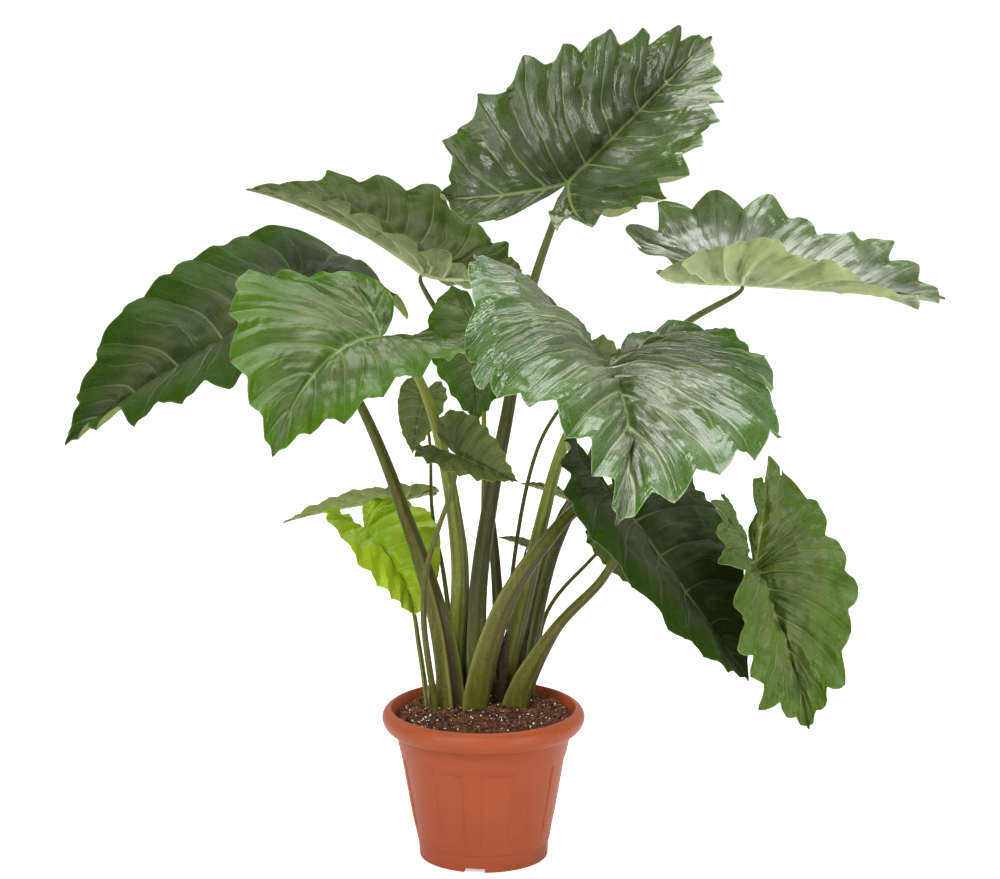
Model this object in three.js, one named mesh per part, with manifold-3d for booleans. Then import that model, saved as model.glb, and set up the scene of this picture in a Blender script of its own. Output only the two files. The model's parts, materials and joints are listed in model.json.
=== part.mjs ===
// A potted alocasia: seventeen arrow-shaped leaves on long stalks, in a round plastic nursery pot.
// Units are millimetres, +Z is up. The pot stands on z = 0 with its axis on the Z axis, and its front is -Y.
//
// Each leaf is described in its own plane before it is bent into place. There s runs along the midrib,
// 0 where the stalk joins and 1 at the tip, and t runs to the leaf's left or right edge. Both are in
// lengths of the midrib. A column number c walks once round one half of the leaf: from the tip (0) back
// along the midrib to the stalk (5.6), out along the lobe rib (9) and home along the lobe's inner edge (13).
import * as THREE from 'three';
import { mergeVertices } from 'three/addons/utils/BufferGeometryUtils.js';
import ManifoldModule from 'manifold-3d';

const manifold = await ManifoldModule();
manifold.setup();
const { Manifold, Mesh: ManifoldMesh } = manifold;

// ---- Driving dimensions of the pot ----
const POT = {
  height: 204,
  rimRadius: 135,
  rimWidest: 190,
  openingRadius: 121,
  collarTop: 172,
  collarRadius: 117,
  bodyTop: 145,
  bodyRadius: 109,
  footTop: 24,
  footRadius: 87,
  baseRadius: 85.5,
  wall: 3.5,
  floor: 9,
};
const FIRST_RIB = -8; // compass angle of the first rib and of the first foot channel, from the front
const RIB = { count: 10, halfAngle: 6, edge: 1, proud: 1.3, top: 140, bottom: 32 };
const CHANNEL = { count: 5, inner: 42, width: 28, height: 5.5, drainRadius: 5, drainAt: 60, drainSides: 16 };

// ---- Driving dimensions of the soil ----
const SOIL = { edge: 190, brim: 187, mound: 7, lump: 2.4, clearance: 0.9, rings: 6, segments: 36, seed: 31 };
const CROWN = [0, 25]; // where the stalks crowd and the soil is highest

// ---- Driving dimensions of every leaf ----
const BLADE_THICKNESS = 1.1;
const KEEL = 1.8; // extra depth of the midrib under the blade, at the stalk
const JOINT_GAP = 0.6; // clear space between a stalk and its blade
const TOP_TAPER = 0.6; // a stalk narrows to this share of its width where it meets the blade
const SHEATH_TOP = 0.12; // share of a stalk's length that its flat sheath takes
const ROUND_FROM = 0.4; // share of a stalk's length above which it is round
const STALK_BURIED = 28; // depth of a stalk's foot under the soil
const HOLE_CLEARANCE = 0.4; // clear space between a stalk and its hole in the soil

const STALK_COLUMN = 5.6; // column where the midrib ends
const LOBE_COLUMN = 9; // column at the end of the lobe rib
const LAST_COLUMN = 13;
const LOBE_RIB = [-0.5, 0.285];
const LOBE_REACH = 0.5; // length of a lobe behind the stalk
const HALF_WIDTH = 0.5; // width of a half at its widest, about
const SWELL_CENTRE = 0.12; // point on the midrib from which the edge swells into scallops
const SCALLOP_ROUNDNESS = 0.7; // below 1 a scallop is rounder at its peak than in the notch between
const VEIN_ARC = 0.05; // how far a side vein bows back from its straight line
const WAVE_GROWTH = 1.4; // power by which the waves grow from the rib to the edge
const NO_BEND = 1e-4; // the least bend in radians, which keeps the arcs from being straight

// Edge of one flat half, from the tip to the stalk.
const EDGE = [
  [1, 0], [0.95, 0.03], [0.84, 0.12], [0.68, 0.245], [0.48, 0.37], [0.26, 0.46], [0.02, 0.515],
  [-0.22, 0.515], [-0.43, 0.44], [-0.56, 0.31], [-0.54, 0.19], [-0.4, 0.1], [-0.2, 0.045], [0, 0],
];
const EDGE_BEFORE = [1.02, -0.03];
const EDGE_AFTER = [0.2, 0];
// Columns where a side vein meets the edge.
const VEINS = [1.2, 2.1, 3, 3.9, 4.8, 5.6, 6.733, 7.867, 9, 10.333, 11.667];

// Each pair is [left half, right half]. Angles are in degrees:
//   face    compass angle and height of the direction that the upper side looks in, from the front
//   arch    bend of the midrib from end to end; twist is its turn about itself
//   fold    rise of a half from the midrib; curl bends it further towards its edge
//   lobeFold, lobePitch, lobeLength shape the two lobes behind the stalk
// A stalk's path climbs from the soil, and its widths are those at the foot, part way up and at the blade.
const LEAVES = [
  {
    name: 'leaf_top', attach: [110, 40, 900], tip: [305, 200, 1075],
    face: [-5, 15], arch: -5, twist: 5,
    width: [1.05, 1.25], fold: [30, 45], curl: [5, 15], lobeFold: [-10, 5], lobePitch: [20, 40],
    lobeLength: [1.1, 0.9], wave: 0.045, scallop: 0.05, seed: 1, size: 'large',
    path: [[-8, 50, 200], [-7, 48, 350], [9, 44, 476], [29, 42, 580], [61, 40, 752], [94, 45, 854]],
    widths: [26, 22, 9],
  },
  {
    name: 'leaf_right_back', attach: [345, 120, 755], tip: [615, 110, 735],
    face: [0, 80], arch: 0, twist: 0,
    width: [1, 1.1], fold: [20, 15], curl: [10, 55], lobeFold: [0, 0], lobePitch: [-10, -10],
    lobeLength: [0.9, 0.65], wave: 0.06, scallop: 0.06, seed: 2, size: 'large',
    path: [
      [52, 52, 200], [89, 80, 384], [132, 95, 486],
      [156, 105, 544], [209, 115, 644], [273, 120, 702],
    ],
    widths: [22, 18, 8],
  },
  {
    name: 'leaf_left_back', attach: [-80, 140, 765], tip: [-325, 260, 860],
    face: [-5, 120], arch: 25, twist: -15,
    width: [1.2, 1], fold: [35, 45], curl: [-65, 0], lobeFold: [15, -5], lobePitch: [10, 40],
    lobeLength: [0.55, 0.8], wave: 0.035, scallop: 0.045, seed: 3, size: 'large',
    path: [[18, 66, 200], [18, 85, 329], [6, 110, 460], [-21, 130, 615], [-50, 138, 690]],
    widths: [15, 12, 7],
  },
  {
    name: 'leaf_left_far', attach: [-245, 110, 725], tip: [-560, 90, 540],
    face: [-10, 110], arch: 15, twist: -25,
    width: [1.1, 1.1], fold: [0, 55], curl: [-50, -20], lobeFold: [-40, -65], lobePitch: [-60, -45],
    lobeLength: [0.6, 0.6], wave: 0.035, scallop: 0.045, seed: 4, size: 'large',
    path: [[-45, 25, 200], [-60, 40, 305], [-105, 70, 450], [-160, 95, 585], [-220, 108, 685]],
    widths: [32, 20, 9],
  },
  {
    name: 'leaf_left_front', attach: [-130, -110, 725], tip: [-255, -320, 615],
    face: [-35, 40], arch: 65, twist: -30,
    width: [0.9, 1.3], fold: [-15, 30], curl: [15, -15], lobeFold: [-15, 10], lobePitch: [5, 55],
    lobeLength: [0.75, 0.8], wave: 0.03, scallop: 0.045, seed: 5, size: 'large',
    path: [
      [-38, 56, 200], [-37, 52, 260], [-32, 22, 399],
      [-56, -30, 573], [-83, -75, 665], [-110, -97, 708],
    ],
    widths: [25, 22, 9],
  },
  {
    name: 'leaf_centre', attach: [155, -140, 690], tip: [160, -425, 555],
    face: [45, 0], arch: 35, twist: 5,
    width: [1.4, 1.2], fold: [75, 0], curl: [-40, -95], lobeFold: [35, 25], lobePitch: [50, -30],
    lobeLength: [0.4, 1.15], wave: 0.035, scallop: 0.05, seed: 6, size: 'large',
    path: [[26, 44, 200], [62, 30, 375], [80, 10, 466], [104, -50, 570], [136, -115, 652]],
    widths: [22, 20, 10],
  },
  {
    name: 'leaf_right_low', attach: [175, -30, 495], tip: [350, -40, 250],
    face: [-5, 20], arch: 40, twist: 10,
    width: [1.3, 1], fold: [-45, 75], curl: [-25, -15], lobeFold: [50, 10], lobePitch: [-20, 20],
    lobeLength: [0.65, 0.6], wave: 0.02, scallop: 0.035, seed: 7, size: 'large',
    path: [[46, 25, 200], [95, 15, 305], [158, -10, 383], [182, -20, 438]],
    widths: [32, 16, 9],
  },
  {
    name: 'leaf_right_hang', attach: [360, 20, 385], tip: [435, 5, 170],
    face: [25, 25], arch: 30, twist: 65,
    width: [1.05, 1.15], fold: [15, 60], curl: [-25, -15], lobeFold: [10, -40], lobePitch: [45, 25],
    lobeLength: [0.9, 1], wave: 0.025, scallop: 0.045, seed: 8, size: 'large',
    path: [
      [-11, 15, 200], [18, 0, 320], [50, -10, 387], [82, -8, 432], [125, 25, 470], [208, 95, 485],
      [290, 128, 450], [345, 70, 408],
    ],
    widths: [36, 20, 8],
  },
  {
    name: 'leaf_young', attach: [-160, 125, 415], tip: [-95, 110, 300],
    face: [10, 40], arch: 110, twist: 40,
    width: [1.2, 0.75], fold: [15, 35], curl: [-50, 0], lobeFold: [15, 0], lobePitch: [0, 10],
    lobeLength: [0.5, 0.5], wave: 0.035, scallop: 0.045, seed: 9, size: 'medium',
    path: [[-77, 40, 200], [-88, 95, 260], [-100, 145, 310], [-135, 175, 375], [-158, 158, 402]],
    widths: [7, 6, 5],
  },
  {
    name: 'leaf_inner_right', attach: [-35, -80, 565], tip: [45, -105, 535],
    face: [-10, 10], arch: 20, twist: 0,
    width: [1.2, 1.1], fold: [10, 60], curl: [-10, 10], lobeFold: [0, 0], lobePitch: [0, 0],
    lobeLength: [0.75, 0.9], wave: 0.035, scallop: 0.04, seed: 10, size: 'medium',
    path: [[-65, 10, 200], [-79, 0, 320], [-74, -28, 400], [-58, -48, 460], [-39, -68, 520]],
    widths: [9, 8, 6],
  },
  {
    name: 'leaf_inner_left', attach: [-80, 95, 600], tip: [-95, 85, 530],
    face: [-20, 10], arch: 20, twist: 0,
    width: [0.9, 0.9], fold: [20, 20], curl: [-20, -20], lobeFold: [0, 0], lobePitch: [0, 0],
    lobeLength: [0.7, 0.7], wave: 0.03, scallop: 0.04, seed: 11, size: 'small',
    path: [[-36, 76, 200], [-55, 140, 350], [-70, 158, 430], [-72, 125, 530], [-78, 108, 585]],
    widths: [7, 6, 4],
  },
  {
    name: 'leaf_inner_mid', attach: [-5, 100, 690], tip: [-10, 70, 575],
    face: [-10, 30], arch: 30, twist: 0,
    width: [1.1, 1.1], fold: [15, 15], curl: [-20, -20], lobeFold: [0, 0], lobePitch: [0, 0],
    lobeLength: [0.9, 0.9], wave: 0.035, scallop: 0.045, seed: 12, size: 'medium',
    path: [[-2, 84, 200], [0, 95, 400], [0, 108, 600], [-4, 112, 670]],
    widths: [9, 8, 6],
  },
  {
    name: 'leaf_back_mid', attach: [140, 60, 645], tip: [155, 40, 570],
    face: [10, 50], arch: 20, twist: 0,
    width: [1.1, 1.1], fold: [20, 20], curl: [0, 0], lobeFold: [0, 0], lobePitch: [10, 10],
    lobeLength: [1, 1], wave: 0.04, scallop: 0.045, seed: 13, size: 'medium',
    path: [[32, 68, 200], [38, 92, 358], [76, 74, 549], [125, 68, 625]],
    widths: [7, 6, 5],
  },
  {
    name: 'leaf_back_wisp', attach: [115, 200, 440], tip: [50, 190, 465],
    face: [0, 85], arch: 10, twist: 0,
    width: [0.5, 0.5], fold: [20, 20], curl: [0, 0], lobeFold: [0, 0], lobePitch: [0, 0],
    lobeLength: [0.6, 0.6], wave: 0.03, scallop: 0.04, seed: 14, size: 'small',
    path: [[36, 82, 200], [63, 140, 327], [103, 190, 420]],
    widths: [6, 5, 4],
  },
  {
    name: 'leaf_low_wisp', attach: [60, 170, 380], tip: [20, 165, 395],
    face: [0, 75], arch: 10, twist: 0,
    width: [0.6, 0.6], fold: [20, 20], curl: [0, 0], lobeFold: [0, 0], lobePitch: [0, 0],
    lobeLength: [0.6, 0.6], wave: 0.03, scallop: 0.04, seed: 15, size: 'small',
    path: [[10, 96, 200], [30, 130, 290], [55, 165, 365]],
    widths: [6, 5, 3.5],
  },
  {
    name: 'leaf_behind', attach: [175, 150, 400], tip: [215, 140, 325],
    face: [0, 20], arch: 20, twist: 0,
    width: [0.8, 0.8], fold: [20, 20], curl: [-10, -10], lobeFold: [0, 0], lobePitch: [0, 0],
    lobeLength: [0.6, 0.6], wave: 0.03, scallop: 0.04, seed: 16, size: 'small',
    path: [[66, 66, 200], [86, 110, 304], [145, 150, 366], [170, 158, 390]],
    widths: [8, 6, 5],
  },
  {
    name: 'leaf_edge_on', attach: [-117, 215, 435], tip: [-278, 205, 405],
    face: [0, 105], arch: 15, twist: 0,
    width: [0.55, 0.55], fold: [20, 20], curl: [0, 0], lobeFold: [0, 0], lobePitch: [0, 0],
    lobeLength: [0.6, 0.6], wave: 0.03, scallop: 0.04, seed: 17, size: 'medium',
    path: [[-60, 54, 200], [-72, 140, 310], [-102, 205, 412]],
    widths: [7, 6, 4],
  },
];

// How finely a leaf is drawn: columns between veins are always one, rows run from midrib to edge.
const ROWS = {
  large: [0, 0.42, 0.8, 1],
  medium: [0, 0.55, 1],
  small: [0, 1],
};
const STALK_RINGS = { large: 12, medium: 8, small: 7 };
const STALK_SIDES = { large: 8, medium: 6, small: 6 };

// ---- Small helpers ----
const radians = (degrees) => (degrees * Math.PI) / 180;
const clamp = (value, low, high) => Math.min(high, Math.max(low, value));
const vector = (point) => new THREE.Vector3(...point);

/** A repeatable number from 0 to 1 for one seed and one index. */
function seeded(seed, index) {
  const wave = Math.sin(seed * 12.9898 + index * 78.233) * 43758.5453;
  return wave - Math.floor(wave);
}

/** The height of a list of [x, y] points at x, joined by straight lines. */
function interpolate(points, x) {
  const next = points.findIndex((point) => point[0] >= x);
  if (next === -1) return points[points.length - 1][1];
  if (next === 0) return points[0][1];
  const [x0, y0] = points[next - 1];
  const [x1, y1] = points[next];
  return y0 + ((y1 - y0) * (x - x0)) / (x1 - x0);
}

/** A closed mesh's geometry from its points and its triples of point numbers. */
function geometryFrom(vertices, triangles) {
  const geometry = new THREE.BufferGeometry();
  const numbers = vertices.flatMap((vertex) => vertex.toArray());
  geometry.setAttribute('position', new THREE.Float32BufferAttribute(numbers, 3));
  geometry.setIndex(triangles.flat());
  return geometry;
}

/** A solid that can be joined and cut, from a geometry with its shared points merged. */
function manifoldFromGeometry(geometry) {
  geometry.deleteAttribute('normal');
  geometry.deleteAttribute('uv');
  const merged = mergeVertices(geometry);
  return new Manifold(new ManifoldMesh({
    numProp: 3,
    vertProperties: merged.attributes.position.array,
    triVerts: Uint32Array.from(merged.index.array),
  }));
}

function manifoldFrom(vertices, triangles) {
  return manifoldFromGeometry(geometryFrom(vertices, triangles));
}

function geometryFromManifold(solid) {
  const mesh = solid.getMesh();
  const geometry = new THREE.BufferGeometry();
  geometry.setAttribute('position', new THREE.Float32BufferAttribute(mesh.vertProperties, 3));
  geometry.setIndex(Array.from(mesh.triVerts));
  return geometry;
}

// ---- Flat leaf ----
/** A point on the smooth edge through EDGE at column c. */
function edgePoint(c) {
  const points = [EDGE_BEFORE, ...EDGE, EDGE_AFTER];
  const k = clamp(Math.floor(c), 0, EDGE.length - 2);
  const u = c - k;
  return [0, 1].map((axis) => {
    const [a, b, d, e] = [0, 1, 2, 3].map((step) => points[k + step][axis]);
    const square = 2 * a - 5 * b + 4 * d - e;
    const cube = 3 * b - a - 3 * d + e;
    return 0.5 * (2 * b + (d - a) * u + square * u * u + cube * u * u * u);
  });
}

/** The point of the midrib or lobe rib from which column c runs out to the edge. */
function ribPoint(c) {
  if (c <= STALK_COLUMN) return [1 - c / STALK_COLUMN, 0];
  const out = (c - STALK_COLUMN) / (LOBE_COLUMN - STALK_COLUMN);
  const home = (LAST_COLUMN - c) / (LAST_COLUMN - LOBE_COLUMN);
  const along = c <= LOBE_COLUMN ? out : home;
  return [along * LOBE_RIB[0], along * LOBE_RIB[1]];
}

/** Counts the veins up to column c, so that it is a whole number on each vein. */
function veinPhase(c) {
  const marks = [0, ...VEINS, LAST_COLUMN];
  return interpolate(marks.map((mark, index) => [mark, index]), c);
}

/** The flat point [s, t] at column c, a share v of the way from the rib to the scalloped edge. */
function flatPoint(leaf, c, v) {
  const [ribS, ribT] = ribPoint(c);
  let [edgeS, edgeT] = edgePoint(c);
  const phase = veinPhase(c);
  const fade = clamp(Math.min(c, (LAST_COLUMN - c) / 2.5), 0, 1);
  const lobe = 0.5 + seeded(leaf.seed, Math.round(phase));
  const peak = Math.abs(Math.cos(Math.PI * phase)) ** SCALLOP_ROUNDNESS;
  const swell = 1 + leaf.scallop * fade * (2 * lobe * peak - 1);
  edgeS = SWELL_CENTRE + (edgeS - SWELL_CENTRE) * swell;
  edgeT *= swell;
  // A side vein leaves the midrib towards the edge in an arc, which fades towards the tip and into the lobe.
  const arc = c <= STALK_COLUMN ? clamp(c / 2, 0, 1) : clamp((7.5 - c) / 1.9, 0, 1);
  const bow = VEIN_ARC * arc * Math.sin(Math.PI * v);
  return [ribS + (edgeS - ribS) * v - bow, ribT + (edgeT - ribT) * v];
}

/** How far the blade stands above its smooth shape at (c, v): it rises between the veins. */
function waveHeight(leaf, c, v, side) {
  const phase = veinPhase(c);
  const between = 0.5 - 0.5 * Math.cos(2 * Math.PI * phase);
  const fade = clamp(Math.min(c / 1.5, (LAST_COLUMN - c) / 2), 0, 1);
  const seed = leaf.seed + 40 * side;
  const size = 0.5 + seeded(seed, Math.floor(phase) + 60);
  const onVein = Math.abs(Math.cos(Math.PI * phase));
  const tilt = (seeded(seed, Math.round(phase) + 90) - 0.5) * onVein;
  return leaf.wave * fade * v ** WAVE_GROWTH * (size * between + 0.8 * tilt * v);
}

// ---- Bending a leaf into place ----
/** Directions at a leaf's stalk: along the midrib, to its left, and out of its upper side. */
function leafFrame(leaf) {
  const attach = vector(leaf.attach);
  const along = vector(leaf.tip).sub(attach);
  const chord = along.length();
  along.normalize();
  const [compass, height] = leaf.face.map(radians);
  const up = new THREE.Vector3(
    Math.sin(compass) * Math.cos(height), -Math.cos(compass) * Math.cos(height), Math.sin(height));
  up.addScaledVector(along, -up.dot(along)).normalize();
  const left = new THREE.Vector3().crossVectors(up, along);
  const arch = radians(leaf.arch) || NO_BEND;
  const midrib = (chord * arch) / (2 * Math.sin(arch / 2));
  return { attach, along, left, up, arch, midrib };
}

/** Where a flat point [s, t] of one side (+1 left, -1 right) lies, raised by a share of the midrib. */
function placed(leaf, frame, side, [s, t], raised) {
  const half = side > 0 ? 0 : 1;
  const { arch, midrib } = frame;
  const back = s < 0;
  const run = back ? s * leaf.lobeLength[half] : s;
  const bend = back ? NO_BEND - radians(leaf.lobePitch[half]) / LOBE_REACH : arch;
  const slope = arch / 2 - bend * run;
  const x = (midrib * (Math.sin(arch / 2) - Math.sin(slope))) / bend;
  const y = (midrib * (Math.cos(slope) - Math.cos(arch / 2))) / bend;
  const normal = frame.up.clone()
    .multiplyScalar(Math.cos(slope))
    .addScaledVector(frame.along, -Math.sin(slope));
  const turn = radians(leaf.twist) * run;
  const across = frame.left.clone().multiplyScalar(Math.cos(turn)).addScaledVector(normal, Math.sin(turn));
  const above = normal.clone().multiplyScalar(Math.cos(turn)).addScaledVector(frame.left, -Math.sin(turn));
  const fold = radians(leaf.fold[half] + (leaf.lobeFold[half] * clamp(-run, 0, 1)) / LOBE_REACH);
  const curl = (radians(leaf.curl[half]) || 10 * NO_BEND) / HALF_WIDTH;
  const angle = fold + curl * t * leaf.width[half];
  const sideways = (Math.sin(angle) - Math.sin(fold)) / curl - raised * Math.sin(angle);
  const upwards = (Math.cos(fold) - Math.cos(angle)) / curl + raised * Math.cos(angle);
  return frame.attach.clone()
    .addScaledVector(frame.along, x)
    .addScaledVector(frame.up, y)
    .addScaledVector(across, side * midrib * sideways)
    .addScaledVector(above, midrib * upwards);
}

// ---- Blades ----
/** Columns of one half. Outer and inner lobe columns start from the same points of the lobe rib. */
function columnsOf(size) {
  const marks = [0, ...VEINS, LAST_COLUMN];
  if (size === 'small') return marks;
  return marks.flatMap((mark, index) => (index === 0 ? [mark] : [(marks[index - 1] + mark) / 2, mark]));
}

/** The upper face of a blade: one sheet of both halves, joined along the midrib and the lobe ribs. */
function upperSheet(leaf) {
  const frame = leafFrame(leaf);
  const rows = ROWS[leaf.size];
  const columns = columnsOf(leaf.size);
  const vertices = [];
  const onRib = [];
  const known = new Map();
  const vertexAt = (side, c, v) => {
    const tipOrStalk = c === 0 || c === LAST_COLUMN;
    const rib = v === 0 || tipOrStalk;
    const [s, t] = rib ? ribPoint(c) : flatPoint(leaf, c, v);
    const place = rib ? `${s.toFixed(3)} ${t < 1e-6 ? '' : side * t.toFixed(3)}` : `${side} ${c} ${v}`;
    if (!known.has(place)) {
      known.set(place, vertices.length);
      vertices.push(placed(leaf, frame, side, [s, t], rib ? 0 : waveHeight(leaf, c, v, side)));
      onRib.push(rib ? clamp(1 - Math.hypot(s, t), 0, 1) : 0);
    }
    return known.get(place);
  };
  const triangles = [];
  const addTriangle = (a, b, c) => {
    if (a !== b && b !== c && c !== a) triangles.push([a, b, c]);
  };
  for (const side of [1, -1]) {
    for (let i = 0; i + 1 < columns.length; i += 1) {
      for (let j = 0; j + 1 < rows.length; j += 1) {
        const near = vertexAt(side, columns[i], rows[j]);
        const out = vertexAt(side, columns[i], rows[j + 1]);
        const outNext = vertexAt(side, columns[i + 1], rows[j + 1]);
        const nearNext = vertexAt(side, columns[i + 1], rows[j]);
        const corners = side > 0 ? [near, out, outNext, nearNext] : [near, nearNext, outNext, out];
        addTriangle(corners[0], corners[1], corners[2]);
        addTriangle(corners[0], corners[2], corners[3]);
      }
    }
  }
  return { vertices, triangles, onRib };
}

/** Gives a sheet a thickness, more of it along the ribs, and closes its edge. */
function thicken({ vertices, triangles, onRib }) {
  const normals = vertices.map(() => new THREE.Vector3());
  for (const [a, b, c] of triangles) {
    const ab = vertices[b].clone().sub(vertices[a]);
    const ac = vertices[c].clone().sub(vertices[a]);
    const area = ab.cross(ac);
    for (const corner of [a, b, c]) normals[corner].add(area);
  }
  const lower = vertices.map((vertex, index) => {
    const depth = BLADE_THICKNESS + KEEL * onRib[index];
    return vertex.clone().addScaledVector(normals[index].normalize(), -depth);
  });
  const shift = vertices.length;
  const solid = triangles.flatMap(([a, b, c]) => [[a, b, c], [a + shift, c + shift, b + shift]]);
  const edges = new Map();
  for (const [a, b, c] of triangles) {
    for (const [from, to] of [[a, b], [b, c], [c, a]]) edges.set(`${from} ${to}`, [from, to]);
  }
  for (const [from, to] of edges.values()) {
    if (edges.has(`${to} ${from}`)) continue;
    solid.push([from, from + shift, to + shift], [from, to + shift, to]);
  }
  return { vertices: [...vertices, ...lower], triangles: solid };
}

// ---- Stalks ----
/** Half width and half depth of a stalk at a share u of its length: a flat sheath below, round above. */
function stalkSection(widths, u) {
  const [foot, middle, top] = widths;
  const sheath = foot * 0.85 + middle * 0.15;
  const width = interpolate(
    [[0, foot], [SHEATH_TOP, sheath], [ROUND_FROM, middle], [0.96, top], [1, top * TOP_TAPER]], u);
  const flatness = interpolate([[0, 0.5], [SHEATH_TOP, 0.55], [ROUND_FROM, 0.85], [1, 0.95]], u);
  return [width / 2, (width * flatness) / 2];
}

/** Where a stalk ends: just under the blade, square to the middle plane of its two halves. */
function stalkTop(leaf) {
  const { attach, along, left, up, arch } = leafFrame(leaf);
  const [foldLeft, foldRight] = leaf.fold.map(radians);
  const normal = up.clone().multiplyScalar(Math.cos(arch / 2)).addScaledVector(along, -Math.sin(arch / 2));
  const below = normal
    .multiplyScalar(-Math.cos(foldLeft) - Math.cos(foldRight))
    .addScaledVector(left, Math.sin(foldLeft) - Math.sin(foldRight))
    .normalize();
  const top = attach.clone().addScaledVector(below, BLADE_THICKNESS + KEEL + JOINT_GAP);
  return { top, below };
}

/** A stalk as rings along its path, grown by a margin and lengthened for cutting its hole. */
function stalkBody(leaf, grown, sides, rings) {
  const { top, below } = stalkTop(leaf);
  const foot = vector(leaf.path[0]);
  const path = [
    foot.clone().setZ(foot.z - STALK_BURIED - grown),
    ...leaf.path.map(vector),
    top.clone().addScaledVector(below, leaf.widths[2]),
    top,
  ];
  const curve = new THREE.CatmullRomCurve3(path, false, 'centripetal');
  const vertices = [];
  const triangles = [];
  let wide = new THREE.Vector3(1, 0, 0);
  for (let ring = 0; ring <= rings; ring += 1) {
    const u = ring / rings;
    const centre = curve.getPointAt(u);
    const tangent = curve.getTangentAt(u);
    wide = wide.clone().addScaledVector(tangent, -wide.dot(tangent)).normalize();
    const deep = new THREE.Vector3().crossVectors(tangent, wide);
    const [halfWidth, halfDepth] = stalkSection(leaf.widths, u);
    for (let k = 0; k < sides; k += 1) {
      const angle = (2 * Math.PI * k) / sides;
      const offset = wide.clone().multiplyScalar((halfWidth + grown) * Math.cos(angle))
        .addScaledVector(deep, (halfDepth + grown) * Math.sin(angle));
      vertices.push(centre.clone().add(offset));
    }
  }
  for (let ring = 0; ring < rings; ring += 1) {
    for (let k = 0; k < sides; k += 1) {
      const a = ring * sides + k;
      const b = ring * sides + ((k + 1) % sides);
      triangles.push([a, b, b + sides], [a, b + sides, a + sides]);
    }
  }
  const last = rings * sides;
  for (let k = 1; k + 1 < sides; k += 1) triangles.push([0, k + 1, k], [last, last + k, last + k + 1]);
  return { vertices, triangles };
}

// ---- Pot and soil ----
/** A closed body turned about Z from a profile of [radius, z], whose radius an offset may change. */
function turnedBody(profile, angles, offset) {
  const vertices = [];
  const triangles = [];
  for (const [index, [radius, z]] of profile.entries()) {
    for (const angle of angles) {
      const r = radius + offset(index, angle);
      vertices.push(new THREE.Vector3(r * Math.sin(angle), -r * Math.cos(angle), z));
    }
  }
  const n = angles.length;
  for (let p = 0; p < profile.length - 1; p += 1) {
    for (let k = 0; k < n; k += 1) {
      const a = p * n + k;
      const b = p * n + ((k + 1) % n);
      triangles.push([a, b, b + n], [a, b + n, a + n]);
    }
  }
  const firstCentre = vertices.push(new THREE.Vector3(0, 0, profile[0][1])) - 1;
  const lastCentre = vertices.push(new THREE.Vector3(0, 0, profile[profile.length - 1][1])) - 1;
  const last = (profile.length - 1) * n;
  for (let k = 0; k < n; k += 1) {
    const next = (k + 1) % n;
    triangles.push([firstCentre, next, k], [lastCentre, last + k, last + next]);
  }
  return { vertices, triangles };
}

/** The inside of the pot as [radius, z], from the opening down to the floor. */
function insideProfile() {
  const { wall } = POT;
  return [
    [POT.openingRadius, POT.height - 5],
    [POT.collarRadius - wall, POT.collarTop],
    [POT.bodyRadius + 1 - wall, POT.bodyTop],
    [POT.footRadius + 1.5 - wall, POT.footTop],
    [POT.baseRadius - wall, POT.floor],
  ];
}

/** Angles round the pot: both edges of every raised rib, and the middles of the panels between. */
function potAngles() {
  const step = 360 / RIB.count;
  const { halfAngle, edge } = RIB;
  const across = [-halfAngle - edge, -halfAngle, 0, halfAngle, halfAngle + edge, step / 2];
  return Array.from({ length: RIB.count }, (_, index) => index * step + FIRST_RIB)
    .flatMap((start) => across.map((angle) => radians(start + angle)));
}

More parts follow.
